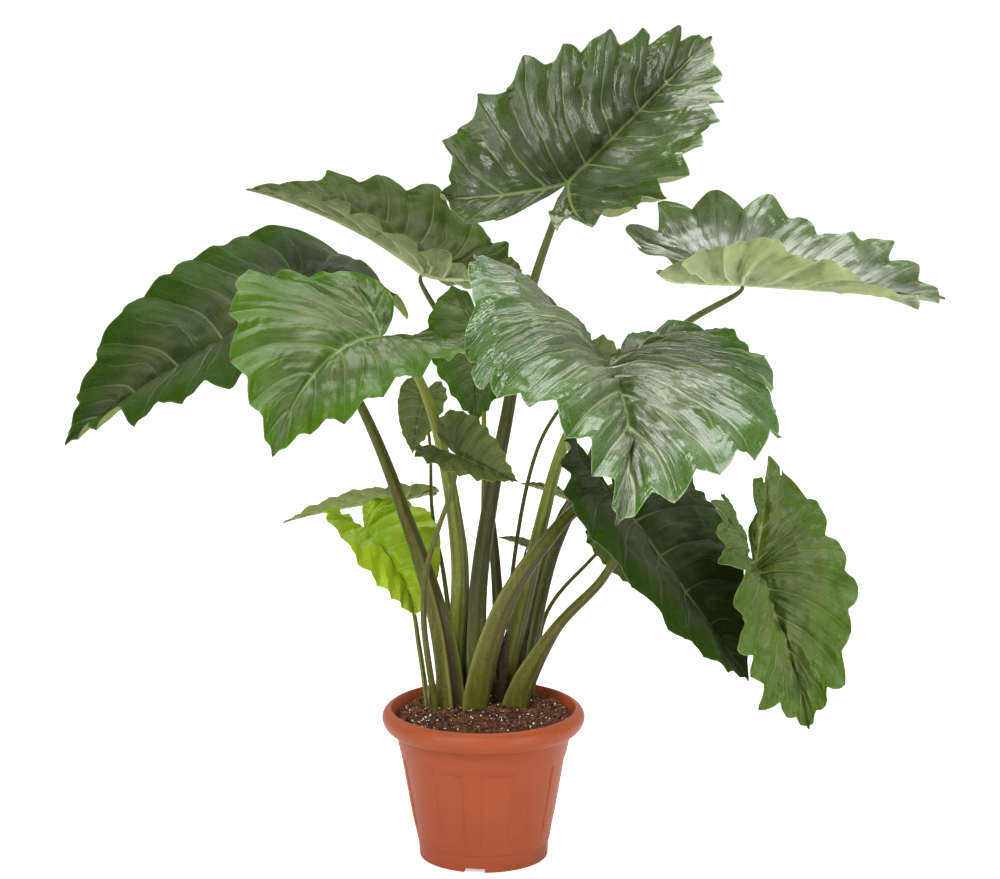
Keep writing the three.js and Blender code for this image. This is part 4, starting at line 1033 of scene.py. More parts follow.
def leaf_skin_group():
    """Colour from the values on the points and from noise and cells on the flat map; relief from noise.

    fan counts the veins and outward runs to the edge, so noise in fan and outward makes streaks beside the
    veins. A minor vein lies where the fraction of fan is near one half, and wanders a little.
    """
    # Two of these values lay on a painted sheen: its colour, and how much of it is laid on.
    inputs = {
        "Deep": rgb(0.03, 0.07, 0.012), "Light": rgb(0.07, 0.13, 0.03), "Edge": rgb(0.12, 0.22, 0.03),
        "Vein": rgb(0.26, 0.34, 0.12), "Under": rgb(0.2, 0.27, 0.1), "Haze": rgb(0.22, 0.26, 0.18),
        "Painted_Sheen_Share": 0.1, "Gloss": 0.3, "Grain": 0.5, "Streak": 0.5,
    }
    group, tree, given, out = new_group("leaf skin", inputs, SKIN_OUTPUTS)
    flat = tree.flat_map()
    upper, vein, margin, outward, fan, dry = (
        tree.value(key) for key in ("upper", "vein", "margin", "outward", "fan", "dry"))
    side = tree.ramp(tree.add("ShaderNodeSeparateXYZ", {"Vector": flat}).outputs[1], -0.0005, 0.0005)
    beside_veins = tree.add("ShaderNodeCombineXYZ", {"X": fan, "Y": tree.math("MULTIPLY", outward, 0.3),
                                                     "Z": tree.math("MULTIPLY", side, 3.0)}).outputs[0]
    streaks = tree.noise(beside_veins, 7.0, 4.0, 0.6)
    streaks = tree.math("MULTIPLY", streaks, tree.ramp(outward, 0.02, 0.2))
    wander = tree.math("MULTIPLY", tree.math("SUBTRACT", tree.noise(flat, 22.0, 2.0), 0.5), 0.25)
    leaning = tree.math("ADD", tree.math("ADD", fan, wander), tree.math("MULTIPLY", outward, 0.16))
    between = tree.math("FRACT", leaning)
    apart = tree.math("ABSOLUTE", tree.math("SUBTRACT", between, 0.56))
    minor = tree.math("MULTIPLY", tree.ramp(apart, 0.0, 0.028, 1.0, 0.0), tree.ramp(outward, 0.05, 0.25))
    minor = tree.math("MULTIPLY", minor, tree.ramp(outward, 0.75, 1.0, 0.45, 0.0))
    cloud = tree.noise(flat, 14.0, 4.0)
    mottle = tree.noise(flat, 90.0, 3.0)
    cells = tree.add("ShaderNodeTexVoronoi", {"Vector": flat, "Scale": 190.0}, feature="DISTANCE_TO_EDGE")
    cell_lines = tree.ramp(cells.outputs["Distance"], 0.0, 0.09, 1.0, 0.0)
    top = tree.mix(tree.ramp(cloud, 0.35, 0.68), given["Deep"], given["Light"])
    top = tree.mix(tree.math("MULTIPLY", tree.ramp(streaks, 0.45, 0.7), 0.6), top, given["Deep"])
    top = tree.mix(tree.math("MULTIPLY", tree.ramp(outward, 0.45, 1.0), 0.7), top, given["Edge"])
    top = tree.mix(tree.math("MULTIPLY", tree.ramp(mottle, 0.5, 0.75), 0.3), top, given["Light"])
    top = tree.mix(tree.math("MULTIPLY", cell_lines, 0.1), top, given["Vein"])
    # Painted sheen: a grey haze in patches on the inner part of the blade, broken by the streaks. It stands
    # in for the bright backdrop mirrored at a low angle.
    middle = tree.math("MULTIPLY", tree.ramp(outward, 0.4, 0.95, 1.0, 0.0), tree.ramp(cloud, 0.25, 0.5))
    middle = tree.math("MULTIPLY", middle, tree.ramp(streaks, 0.3, 0.6, 0.2, 1.0))
    top = tree.mix(tree.math("MULTIPLY", middle, given["Painted_Sheen_Share"]), top, given["Haze"])
    pale = tree.math("MAXIMUM", tree.ramp(vein, 0.12, 0.8), minor)
    top = tree.mix(tree.math("MULTIPLY", pale, 0.85), top, given["Vein"])
    shade = tree.mix(tree.ramp(mottle, 0.35, 0.7, 0.0, 0.16), given["Under"], given["Light"])
    shade = tree.mix(tree.ramp(cloud, 0.35, 0.7, 0.0, 0.18), shade, given["Edge"])
    field = tree.math("ABSOLUTE", tree.math("SINE", tree.math("MULTIPLY", fan, math.pi)))
    shade = tree.mix(tree.math("MULTIPLY", tree.ramp(field, 0.2, 1.0), 0.22), shade, given["Light"])
    shade = tree.mix(tree.ramp(streaks, 0.4, 0.65, 0.0, 0.25), shade, given["Edge"])
    bottom = tree.mix(tree.math("MULTIPLY", pale, 0.7), shade, VEIN_BENEATH)
    colour = tree.mix(upper, bottom, top)
    colour = tree.mix(tree.math("MULTIPLY", tree.ramp(margin, 0.3, 0.9), 0.45), colour, given["Vein"])
    colour = tree.mix(tree.math("MULTIPLY", tree.ramp(dry, 0.2, 0.8), 0.8), colour, DRIED)
    tree.join(colour, out["Base Color"])
    matt = tree.ramp(mottle, 0.3, 0.8, 0.0, 0.1)
    dull = tree.math("MULTIPLY", tree.math("SUBTRACT", 1.0, upper), 0.3)
    rough = tree.math("ADD", tree.math("ADD", given["Gloss"], matt), dull, clamp=True)
    tree.join(rough, out["Roughness"])
    fine = tree.math("MULTIPLY", tree.noise(flat, 60.0, 3.0, 0.5), given["Grain"])
    height = tree.math("ADD", tree.math("MULTIPLY", streaks, given["Streak"]), fine)
    height = tree.math("SUBTRACT", height, tree.math("MULTIPLY", minor, 0.25))
    bump = tree.add("ShaderNodeBump", {"Strength": 1.0, "Distance": 0.003, "Height": height})
    tree.join(bump.outputs[0], out["Normal"])
    return group


LEAF_SKIN = leaf_skin_group()
print("nodes in the leaf skin:", len(LEAF_SKIN.nodes))

# %% [markdown]
# ### Nine tones
# The leaves differ in age and in gloss. Nine sets of values for the one group give the glossy top leaf, the
# silvery one, the greyish one, the dark ones, the dull small ones and the young one. The silvery and greyish
# sheens are partly real mirroring and partly painted. A set holds the colours, how rough the skin is, how
# strong the painted sheen, and how strong grain and streaks are in relief. SHINE, how strongly each tone
# mirrors, is set on the shader itself.

# %% Blade finishes
def tone(deep, light, edge, vein, under, gloss, sheen_share, **others):
    """One tone's values for the leaf skin. What it leaves out keeps the group's own value."""
    colours = {"Deep": deep, "Light": light, "Edge": edge, "Vein": vein, "Under": under}
    values = {key: rgb(*colour) for key, colour in colours.items()}
    return {**values, "Gloss": gloss, "Painted_Sheen_Share": sheen_share, **others}


# Each tone's sheen colour and sheen share give its upper side a painted sheen, which stands in for the bright
# backdrop mirrored at a low angle.
TONES = {
    "glossy": tone((0.028, 0.054, 0.006), (0.048, 0.085, 0.014), (0.06, 0.12, 0.009), (0.24, 0.32, 0.12),
                   (0.4, 0.48, 0.17), 0.14, 0.22, Grain=0.25, Streak=0.9),
    "silvery": tone((0.04, 0.075, 0.015), (0.08, 0.13, 0.04), (0.11, 0.19, 0.04), (0.34, 0.42, 0.22),
                    (0.44, 0.52, 0.2), 0.18, 0.6, Haze=rgb(0.42, 0.47, 0.38), Grain=0.3, Streak=0.9),
    "bloomed": tone((0.022, 0.066, 0.003), (0.052, 0.112, 0.01), (0.045, 0.14, 0.003), (0.42, 0.5, 0.26),
                    (0.3, 0.38, 0.14), 0.13, 0.45, Haze=rgb(0.26, 0.29, 0.19), Grain=0.45, Streak=1.0),
    "dark": tone((0.014, 0.034, 0.002), (0.034, 0.054, 0.009), (0.026, 0.072, 0.002), (0.13, 0.17, 0.075),
                 (0.34, 0.42, 0.13), 0.28, 0.14, Grain=0.45, Streak=0.7),
    "greyed": tone((0.026, 0.044, 0.004), (0.04, 0.064, 0.01), (0.045, 0.082, 0.008), (0.14, 0.18, 0.07),
                   (0.4, 0.46, 0.22), 0.34, 0.05, Grain=0.4, Streak=0.5),
    "dull": tone((0.09, 0.125, 0.028), (0.13, 0.175, 0.05), (0.13, 0.19, 0.025), (0.27, 0.34, 0.12),
                 (0.4, 0.48, 0.16), 0.3, 0.1),
    "fresh": tone((0.03, 0.08, 0.002), (0.052, 0.11, 0.006), (0.06, 0.155, 0.002), (0.17, 0.24, 0.08),
                  (0.36, 0.45, 0.13), 0.26, 0.35, Haze=rgb(0.19, 0.2, 0.12), Grain=0.4, Streak=0.5),
    "clear": tone((0.05, 0.105, 0.004), (0.11, 0.18, 0.018), (0.075, 0.16, 0.004), (0.32, 0.4, 0.13),
                  (0.38, 0.47, 0.14), 0.26, 0.4, Haze=rgb(0.22, 0.28, 0.1), Grain=0.5, Streak=0.9),
    "young": tone((0.32, 0.52, 0.006), (0.46, 0.68, 0.01), (0.48, 0.7, 0.01), (0.58, 0.74, 0.1),
                  (0.42, 0.58, 0.03), 0.3, 0.0),
}
SHINE = {"glossy": 0.9, "silvery": 1.0, "bloomed": 0.8, "dark": 0.04, "greyed": 0.07, "dull": 0.35,
         "fresh": 0.22, "clear": 0.35, "young": 0.4}
BLADE_FINISHES = {
    key: finish_with("blade_" + key, LEAF_SKIN, values, **{"Specular IOR Level": SHINE[key]})
    for key, values in TONES.items()
}
print("blade finishes:", len(BLADE_FINISHES))

# %% [markdown]
# ### All the blades
# One call makes each blade from its row in the table, with the finish of its tone. Copies of one blade would
# be quicker, but no two of these leaves are bent alike.

# %% The seventeen blades
for leaf in LEAVES:
    blade(leaf, BLADE_FINISHES[leaf["tone"]], "young_blade" if leaf["tone"] == "young" else "leaf_blade")
blade_faces = [len(piece.data.polygons) for piece in bpy.data.objects if piece.name.endswith("_blade_fine")]
print("blades:", len(blade_faces), "with", sum(blade_faces), "faces")

# %% [markdown]
# ### Stalk skin
# Stalks are olive at the foot, finely streaked and flecked with brown, and clearer yellow-green towards the
# blade. Long dark stripes of painted shade run up them, like the shaded sides of stalks in a bunch. The thin
# wings of the sheath are pale, and the hollow between them is darkened by painted shade. Stripes have to
# close round the stalk, so their noise reads the cosine and the sine of the angle, which meet where a flat
# map would show a seam.

# %% Stalk skin group
def stalk_skin_group():
    """Colour along the height value, upward streaks and flecks, and painted shade in long stripes and the
    hollow.
    """
    # The darkest colour serves the brown flecks, and also the painted shade of the stripes and of the hollow.
    inputs = {"Foot": rgb(0.11, 0.12, 0.03), "Top": rgb(0.2, 0.24, 0.045), "Fleck_And_Shade": rgb(0.06, 0.045, 0.02),
              "Pale": rgb(0.38, 0.42, 0.16), "Flecks": 0.6}
    group, tree, given, out = new_group("stalk skin", inputs, SKIN_OUTPUTS)
    place = tree.place()
    height, wing, hollow = (tree.value(key) for key in ("height", "wing", "hollow"))
    streaks = tree.noise(place, 260.0, 3.0, stretch=(1.0, 1.0, 0.12))
    flecks = tree.noise(place, 700.0, 2.0, stretch=(1.0, 1.0, 0.4))
    clouds = tree.noise(place, 40.0, 3.0)
    turned_place = tree.add("ShaderNodeCombineXYZ", {"X": tree.value("round_x"), "Y": tree.value("round_y"),
                                                     "Z": height}).outputs[0]
    stripes = tree.noise(turned_place, 1.5, 3.0, 0.6)
    colour = tree.mix(tree.ramp(height, 0.1, 0.8), given["Foot"], given["Top"])
    colour = tree.mix(tree.ramp(clouds, 0.35, 0.75, 0.0, 0.35), colour, given["Top"])
    colour = tree.mix(tree.ramp(streaks, 0.45, 0.75, 0.0, 0.35), colour, given["Pale"])
    marks = tree.math("MULTIPLY", tree.ramp(flecks, 0.5, 0.66), tree.ramp(height, 0.2, 0.95, 1.0, 0.25))
    colour = tree.mix(tree.math("MULTIPLY", marks, given["Flecks"]), colour, given["Fleck_And_Shade"])
    # Painted shade: long dark stripes, stronger low down, like the shaded sides of stalks in a bunch.
    painted_shade_stripes = tree.math("MULTIPLY", tree.ramp(stripes, 0.5, 0.62), tree.ramp(height, 0.5, 1.0, 0.7, 0.35))
    colour = tree.mix(painted_shade_stripes, colour, given["Fleck_And_Shade"])
    # Painted shade: the hollow of the sheath is darkened.
    colour = tree.mix(tree.ramp(hollow, 0.05, 0.45, 0.0, 0.75), colour, given["Fleck_And_Shade"])
    colour = tree.mix(tree.math("MULTIPLY", wing, 0.8), colour, given["Pale"])
    tree.join(colour, out["Base Color"])
    tree.join(tree.ramp(streaks, 0.3, 0.8, 0.28, 0.45), out["Roughness"])
    relief = tree.math("ADD", streaks, tree.math("MULTIPLY", flecks, 0.4))
    bump = tree.add("ShaderNodeBump", {"Strength": 0.25, "Distance": 0.0008, "Height": relief})
    tree.join(bump.outputs[0], out["Normal"])
    return group


STALK_SKIN = stalk_skin_group()
print("nodes in the stalk skin:", len(STALK_SKIN.nodes))

# %% [markdown]
# ### All the stalks
# Three sets of values, from olive to a clear yellow-green and a deeper green, are shared out among the
# stalks by name. One set for all would make the bunch of stalks look like one piece.

# %% The seventeen stalks
STALK_TONES = {
    "olive": {"Foot": rgb(0.115, 0.125, 0.012), "Top": rgb(0.115, 0.12, 0.014),
              "Pale": rgb(0.26, 0.28, 0.07)},
    "clear": {"Foot": rgb(0.15, 0.18, 0.012), "Top": rgb(0.24, 0.28, 0.02), "Flecks": 0.35},
    "deep": {"Foot": rgb(0.085, 0.1, 0.01), "Top": rgb(0.1, 0.11, 0.018), "Pale": rgb(0.22, 0.25, 0.08)},
}
STALK_FINISHES = {
    key: finish_with("stalk_" + key, STALK_SKIN, values, **{"Specular IOR Level": 0.3})
    for key, values in STALK_TONES.items()
}
STALK_TONE_OF = {
    "leaf_left_front": "clear", "leaf_centre": "clear", "leaf_young": "clear", "leaf_inner_mid": "clear",
    "leaf_top": "deep", "leaf_right_back": "deep", "leaf_left_back": "deep",
}
for leaf in LEAVES:
    stalk(leaf, STALK_FINISHES[STALK_TONE_OF.get(leaf["name"], "olive")])
stalk_faces = [len(piece.data.polygons) for piece in bpy.data.objects if piece.name.endswith("_stalk_fine")]
print("stalks:", len(stalk_faces), "with", sum(stalk_faces), "faces")

# %% [markdown]
# ### Old sheaths
# Between the stalks stand the dried sheaths of leaves that have gone: flat, crumpled and dark brown. Each
# is a tube, as a stalk is, flattened and with rough waves in its radius. A folded sheet would be truer, but
# they are small and stand half hidden among the stalks.

# %% Old sheaths
OLD_SHEATHS = [
    ("old_sheath_front", [(22, 31, 184), (25, 29, 235), (31, 25, 300)], (17, 13, 2), 21),
    ("old_sheath_left", [(-26, 52, 184), (-24, 60, 240), (-16, 72, 310)], (15, 12, 2), 22),
    ("old_sheath_right", [(40, 50, 184), (46, 46, 230), (57, 38, 285)], (14, 11, 2), 23),
]
SHEATH_RINGS, SHEATH_SIDES = 70, 24
SHEATH_CRUMPLE, SHEATH_FLATNESS = 0.3, 0.4


def old_sheath(name, points, widths, seed, material):
    """A flattened tube that narrows to its end, its radius crumpled by waves along and round it."""
    path, _ = smooth_path(points, SHEATH_RINGS)
    u = np.linspace(0, 1, SHEATH_RINGS)[:, None]
    around = full_circle(SHEATH_SIDES)[None, :]
    waves = ripples(2 * np.cos(around) + 5 * u, 2 * np.sin(around), [1.6, 1.1, 0.8, 0.5], seed)
    crumple = 1 + SHEATH_CRUMPLE * waves
    half = np.interp(u, [0, 0.6, 1], widths) / 2
    x = half * np.cos(around) * crumple
    y = SHEATH_FLATNESS * half * np.sin(around) * crumple
    values = {"height": np.r_[np.repeat(u.ravel(), SHEATH_SIDES), 0, 1]}
    faces = tube_faces(SHEATH_RINGS, SHEATH_SIDES)
    piece = mesh_piece(name, tube_points(path, x, y) * MM, faces, values, sharp=40)
    hand_over(piece, "leaf_stalk", material)


WITHERED = finish_with("stalk_withered", STALK_SKIN,
                       {"Foot": rgb(0.035, 0.02, 0.008), "Top": rgb(0.06, 0.035, 0.015),
                        "Fleck_And_Shade": rgb(0.015, 0.008, 0.004), "Pale": rgb(0.13, 0.09, 0.05), "Flecks": 0.8},
                       **{"Specular IOR Level": 0.2})
for sheath in OLD_SHEATHS:
    old_sheath(*sheath, WITHERED)
print("old sheaths:", len(OLD_SHEATHS))

# %% [markdown]
# ## Pot
# The pot is one moulded plastic shell, so its surface is a profile turned about Z: a rolled rim, a collar,
# a tapering body and a foot. Ten flat ribs stand out of the body, as far as the band above them, and fade
# out above the foot. Three channels run in from the edge of the underside, where they open as notches in
# the foot, one of them in front, and each has a drain hole. Ribs could be blocks joined to the body, but as
# a part of the radius they fade out as moulded ones do. Channels and holes have sharp edges, so they are
# cut with booleans.

# %% The pot's shape
POT_HEIGHT, RIM_RADIUS, RIM_WIDEST, OPENING_RADIUS = 204, 135, 190, 121
COLLAR_TOP, COLLAR_RADIUS, BODY_TOP, BODY_RADIUS = 172, 117, 145, 109
FOOT_TOP, FOOT_RADIUS, BASE_RADIUS, WALL, FLOOR_THICKNESS = 24, 87, 85.5, 3.5, 9
RIB_COUNT, FIRST_RIB, RIB_HALF, RIB_EDGE = 10, math.radians(-8), math.radians(6.5), math.radians(0.45)
RIB_PROUD, RIB_TOP, RIB_START, RIB_FULL, BAND_PROUD = 1.5, 140, 28, 58, 1.4
BODY_FOOT = FOOT_RADIUS + 1.5
LONGEST_STEP = 5
CHANNEL_COUNT, CHANNEL_INNER, CHANNEL_WIDTH, CHANNEL_HEIGHT = 3, 42, 28, 5.5
DRAIN_RADIUS, DRAIN_AT = 5, 60


def rounded(points, cut, steps=5):
    """A line of (radius, z) points with rounded corners, each over at most cut millimetres of its sides.

    A rounded corner is a quadratic curve from a point before it to a point after it, bent by the corner.
    """
    points = np.array(points, float)
    line = [points[:1]]
    u = np.linspace(0, 1, steps)[:, None]
    for before, corner, after in zip(points[:-2], points[1:-1], points[2:]):
        start = corner + unit(before - corner) * min(cut, 0.45 * np.linalg.norm(before - corner))
        end = corner + unit(after - corner) * min(cut, 0.45 * np.linalg.norm(after - corner))
        line.append((1 - u) ** 2 * start + 2 * u * (1 - u) * corner + u**2 * end)
    return np.vstack([*line, points[-1:]])


def subdivided(line, longest):
    """The same line with extra points, so that no stretch is longer than longest."""
    stretches = []
    for start, end in zip(line[:-1], line[1:]):
        count = max(1, math.ceil(np.linalg.norm(end - start) / longest))
        stretches.append(start + (end - start) * np.linspace(0, 1, count, endpoint=False)[:, None])
    return np.vstack([*stretches, line[-1:]])


def inside_profile():
    """The inside of the pot, from the opening down to the floor."""
    return [
        (OPENING_RADIUS, POT_HEIGHT - 5), (COLLAR_RADIUS - WALL, COLLAR_TOP),
        (BODY_RADIUS + 1 - WALL, BODY_TOP), (BODY_FOOT - WALL, FOOT_TOP),
        (BASE_RADIUS - WALL, FLOOR_THICKNESS),
    ]


def turned(line, around, radius_offset=None):
    """A closed body turned about Z, at the angles around, from a line of (radius, z) that ends near the axis.

    Each point of the line goes round the axis: its radius times the sine and the cosine of the angle.
    """
    turn = np.asarray(around)[None, :]
    radius, z = line[:, :1], line[:, 1:]
    if radius_offset is not None:
        radius = radius + radius_offset(z, turn, radius)
    points = np.stack(np.broadcast_arrays(radius * np.sin(turn), -radius * np.cos(turn), z + 0 * turn), -1)
    ends = np.array([[0, 0, line[0, 1]], [0, 0, line[-1, 1]]])
    return np.vstack([points.reshape(-1, 3), ends]), tube_faces(len(line), len(around))


def pot_angles():
    """Angles round the pot that crowd at both edges of every rib."""
    edge = RIB_EDGE * np.linspace(-1.3, 1.3, 7)
    clear = 2.2 * RIB_EDGE
    step = 2 * (math.pi / RIB_COUNT)
    flat = np.linspace(-RIB_HALF + clear, RIB_HALF - clear, 9)
    panel = np.linspace(RIB_HALF + clear, step - RIB_HALF - clear, 15)
    one = np.r_[edge - RIB_HALF, flat, edge + RIB_HALF, panel]
    return (FIRST_RIB + step * np.arange(RIB_COUNT)[:, None] + one).ravel()


print("points round the pot:", len(pot_angles()))

# %% [markdown]
# ### Ribs, band and profile
# The outside is one line of corners, each rounded a little. Where a rib or the band stands out, a small
# offset is added to the radius by height and angle, so ribs and body are one surface.

# %% The pot's outside
def rib_offset(z, around, radius):
    """How far the outside stands out: the ribs, the band that they end in, and nothing inside the pot.

    A rib is flat across, with a smooth step at its edges, and rises slowly above the foot.
    """
    step = 2 * math.pi / RIB_COUNT
    turns = (around - FIRST_RIB) / step
    from_rib = np.abs(turns - np.round(turns)) * step
    on_rib = 1 - smoothstep(from_rib, RIB_HALF - RIB_EDGE, RIB_HALF + RIB_EDGE)
    rise = smoothstep(z, RIB_START, RIB_FULL) * (1 - smoothstep(z, RIB_TOP + 2, RIB_TOP + 3))
    band = smoothstep(z, RIB_TOP - 0.8, RIB_TOP + 0.2) * (1 - smoothstep(z, BODY_TOP - 1, BODY_TOP))
    bare = BODY_FOOT + (BODY_RADIUS - BODY_FOOT) * (z - FOOT_TOP) / (BODY_TOP - FOOT_TOP)
    outside = (radius > bare - 1) & (z > FOOT_TOP + 2)
    return np.where(outside, np.maximum(RIB_PROUD * on_rib * rise, BAND_PROUD * band), 0)


def body_at(z):
    """The point of the plain tapering body at one height."""
    share = (z - FOOT_TOP) / (BODY_TOP - 2 - FOOT_TOP)
    return BODY_FOOT + (BODY_RADIUS - BODY_FOOT) * share, z


def outside_profile():
    """The outside of the pot from its underside up to the opening, rounded corner by corner."""
    foot = rounded([
        (10, 0), (BASE_RADIUS, 0), (FOOT_RADIUS, FOOT_TOP - 2), (BODY_FOOT, FOOT_TOP),
        body_at(RIB_TOP - 1), body_at(RIB_TOP - 0.3), body_at(RIB_TOP + 0.3), body_at(RIB_TOP + 1),
        body_at(RIB_TOP + 3), (BODY_RADIUS, BODY_TOP - 2), (BODY_RADIUS + 2.5, BODY_TOP),
        (COLLAR_RADIUS, COLLAR_TOP), (COLLAR_RADIUS + 1, COLLAR_TOP + 5),
    ], 0.5)
    lip = rounded([
        (COLLAR_RADIUS + 1, COLLAR_TOP + 5), (COLLAR_RADIUS + 9, COLLAR_TOP + 2),
        (RIM_RADIUS - 3, RIM_WIDEST - 10), (RIM_RADIUS + 0.8, RIM_WIDEST), (RIM_RADIUS - 2.5, RIM_WIDEST + 9),
        (RIM_RADIUS - 9, POT_HEIGHT - 0.5), (OPENING_RADIUS + 2, POT_HEIGHT),
        (OPENING_RADIUS, POT_HEIGHT - 5),
    ], 6, 7)
    return np.vstack([foot, lip[1:]])


print("points in the outside profile:", len(outside_profile()))

# %% [markdown]
# ### Channels and drain holes
# A bar for each channel and a rod for each hole are taken out of the turned shell. The cut mesh replaces the
# first one, and the bars and rods are removed. Cutting by hand in edit mode would do too, but it can't be
# repeated with another number.

# %% Channels, drain holes and the finished shell
BAR_FACES = np.array([(0, 2, 3, 1), (4, 5, 7, 6), (0, 1, 5, 4), (1, 3, 7, 5), (3, 2, 6, 7), (2, 0, 4, 6)])
ROD_SIDES = 20


def channel_cutters():
    """One bar per channel and one rod per drain hole, turned round the axis in equal steps."""
    half = CHANNEL_WIDTH / 2
    bar = np.array([(x, y, z) for z in (-CHANNEL_HEIGHT, CHANNEL_HEIGHT)
                    for y in (-RIM_RADIUS, -CHANNEL_INNER) for x in (-half, half)], float)
    rod = np.array([(DRAIN_RADIUS, -4.0), (DRAIN_RADIUS, 2.0 * FLOOR_THICKNESS)])
    rod_points, rod_faces = turned(rod, full_circle(ROD_SIDES))
    rod_points = rod_points - [0, DRAIN_AT, 0]
    cutters = []
    for index in range(CHANNEL_COUNT):
        turn = FIRST_RIB + 2 * math.pi * index / CHANNEL_COUNT
        cosine, sine = math.cos(turn), math.sin(turn)
        around = np.array([(cosine, -sine, 0), (sine, cosine, 0), (0, 0, 1)])
        cutters.append(mesh_piece(f"channel_{index}", bar @ around.T * MM, BAR_FACES))
        cutters.append(mesh_piece(f"drain_{index}", rod_points @ around.T * MM, rod_faces))
    return cutters


def make_pot(material):
    """The turned shell, cut by the channels and drain holes, whose cutting bodies are removed again."""
    line = np.vstack([outside_profile(), rounded(inside_profile(), 1.5)[1:], [(10, FLOOR_THICKNESS)]])
    points, faces = turned(subdivided(line, LONGEST_STEP), pot_angles(), rib_offset)
    pot = mesh_piece("pot_fine", points * MM, faces, sharp=60)
    cutters = channel_cutters()
    for tool in cutters:
        cut = pot.modifiers.new(tool.name, "BOOLEAN")
        cut.operation = "DIFFERENCE"
        cut.object = tool
    bpy.context.view_layer.update()
    depsgraph = bpy.context.evaluated_depsgraph_get()
    mesh = bpy.data.meshes.new_from_object(pot.evaluated_get(depsgraph))
    pot.modifiers.clear()
    pot.data = mesh
    mesh.polygons.foreach_set("use_smooth", np.ones(len(mesh.polygons), bool))
    mesh.set_sharp_from_angle(angle=math.radians(40))
    for tool in cutters:
        bpy.data.objects.remove(tool)
    hand_over(pot, "terracotta_plastic", material, "pot")
    return pot


print("channels and drain holes:", CHANNEL_COUNT)

# %% [markdown]
# ### Pot finish
# The plastic is dyed right through, in a dusty terracotta orange. It is slightly cloudy and has the fine
# grain of the mould. Painted shade darkens it a little, in blotches, at the very foot, where it meets the
# floor. Its coordinates are the object's own, in metres, because a moulded shell has no seams or folds that a
# pattern would have to follow.

# %% Pot finish
def moulded_plastic_group():
    """Colour clouds and specks, painted shade at the foot, and a fine grain, all from the object's own
    coordinates.
    """
    # The last colour is that of the painted shade at the foot.
    inputs = {"Colour": rgb(0.41, 0.08, 0.024), "Dusty": rgb(0.46, 0.11, 0.04), "Painted_Foot_Shade": rgb(0.2, 0.06, 0.03)}
    group, tree, given, out = new_group("moulded plastic", inputs, SKIN_OUTPUTS)
    place = tree.place()
    clouds = tree.noise(place, 16.0, 4.0)
    specks = tree.noise(place, 420.0, 3.0)
    grain = tree.noise(place, 1500.0, 2.0)
    z = tree.add("ShaderNodeSeparateXYZ", {"Vector": place}).outputs[2]
    colour = tree.mix(tree.ramp(clouds, 0.3, 0.75, 0.0, 0.45), given["Colour"], given["Dusty"])
    colour = tree.mix(tree.ramp(specks, 0.62, 0.8, 0.0, 0.25), colour, given["Dusty"])
    # Painted shade: the lowest three centimetres darken, in blotches, where the pot meets the floor.
    low = tree.math("MULTIPLY", tree.ramp(z, 0.0, 0.03, 0.5, 0.0), tree.ramp(clouds, 0.4, 0.7))
    colour = tree.mix(low, colour, given["Painted_Foot_Shade"])
    tree.join(colour, out["Base Color"])
    tree.join(tree.ramp(clouds, 0.3, 0.8, 0.34, 0.45), out["Roughness"])
    bump = tree.add("ShaderNodeBump", {"Strength": 0.18, "Distance": 0.0004, "Height": grain})
    tree.join(bump.outputs[0], out["Normal"])
    return group


POT_FINISH = finish_with("terracotta_plastic_fine", moulded_plastic_group(), {},
                         **{"Specular IOR Level": 0.3})
pot_piece = make_pot(POT_FINISH)
print("pot:", len(pot_piece.data.polygons), "faces")

# %% [markdown]
# ## Soil
# The potting mix is a lumpy mound round the stalks. Its body fills the pot as its solid does. On it lie
# crumbs of peat, flat bits of bark and white perlite, each kind one mesh of many small rough grains. A
# particle system could scatter them too, but one mesh of plain triangles is simpler to measure and to
# export.

# %% The soil's body
SOIL_EDGE, SOIL_BRIM, SOIL_MOUND, SOIL_LUMP, SOIL_CLEARANCE = 190, 187, 7, 2.4, 0.9
CROWN, LUMP_SHARE = (0, 25), 0.6
CLOD, CLOD_LENGTHS = 1.7, [31, 27, 23, 19, 17, 15, 13, 11, 9.7, 8.3, 7.1, 6.1, 5.3]
CRUMB, CRUMB_LENGTHS = 0.8, [5.1, 4.3, 3.9, 3.5, 3.1, 2.9, 2.5, 2.3]
SOIL_RINGS, SOIL_SEGMENTS = 110, 300


def soil_height(x, y):
    """The solid's mound and lumps, with finer crumbling on top, in millimetres."""
    from_crown = np.hypot(x - CROWN[0], y - CROWN[1]) / OPENING_RADIUS
    mound = SOIL_MOUND * np.maximum(0, 1 - from_crown) ** 1.5
    lumps = np.sin(0.13 * x + 1.2) * np.cos(0.11 * y + 0.4) + 0.6 * np.sin(0.31 * x - 0.23 * y)
    clods, crumbs = ripples(x, y, CLOD_LENGTHS, 3), ripples(x, y, CRUMB_LENGTHS, 8)
    return SOIL_EDGE + mound + SOIL_LUMP * lumps * LUMP_SHARE + CLOD * clods + CRUMB * np.abs(crumbs)


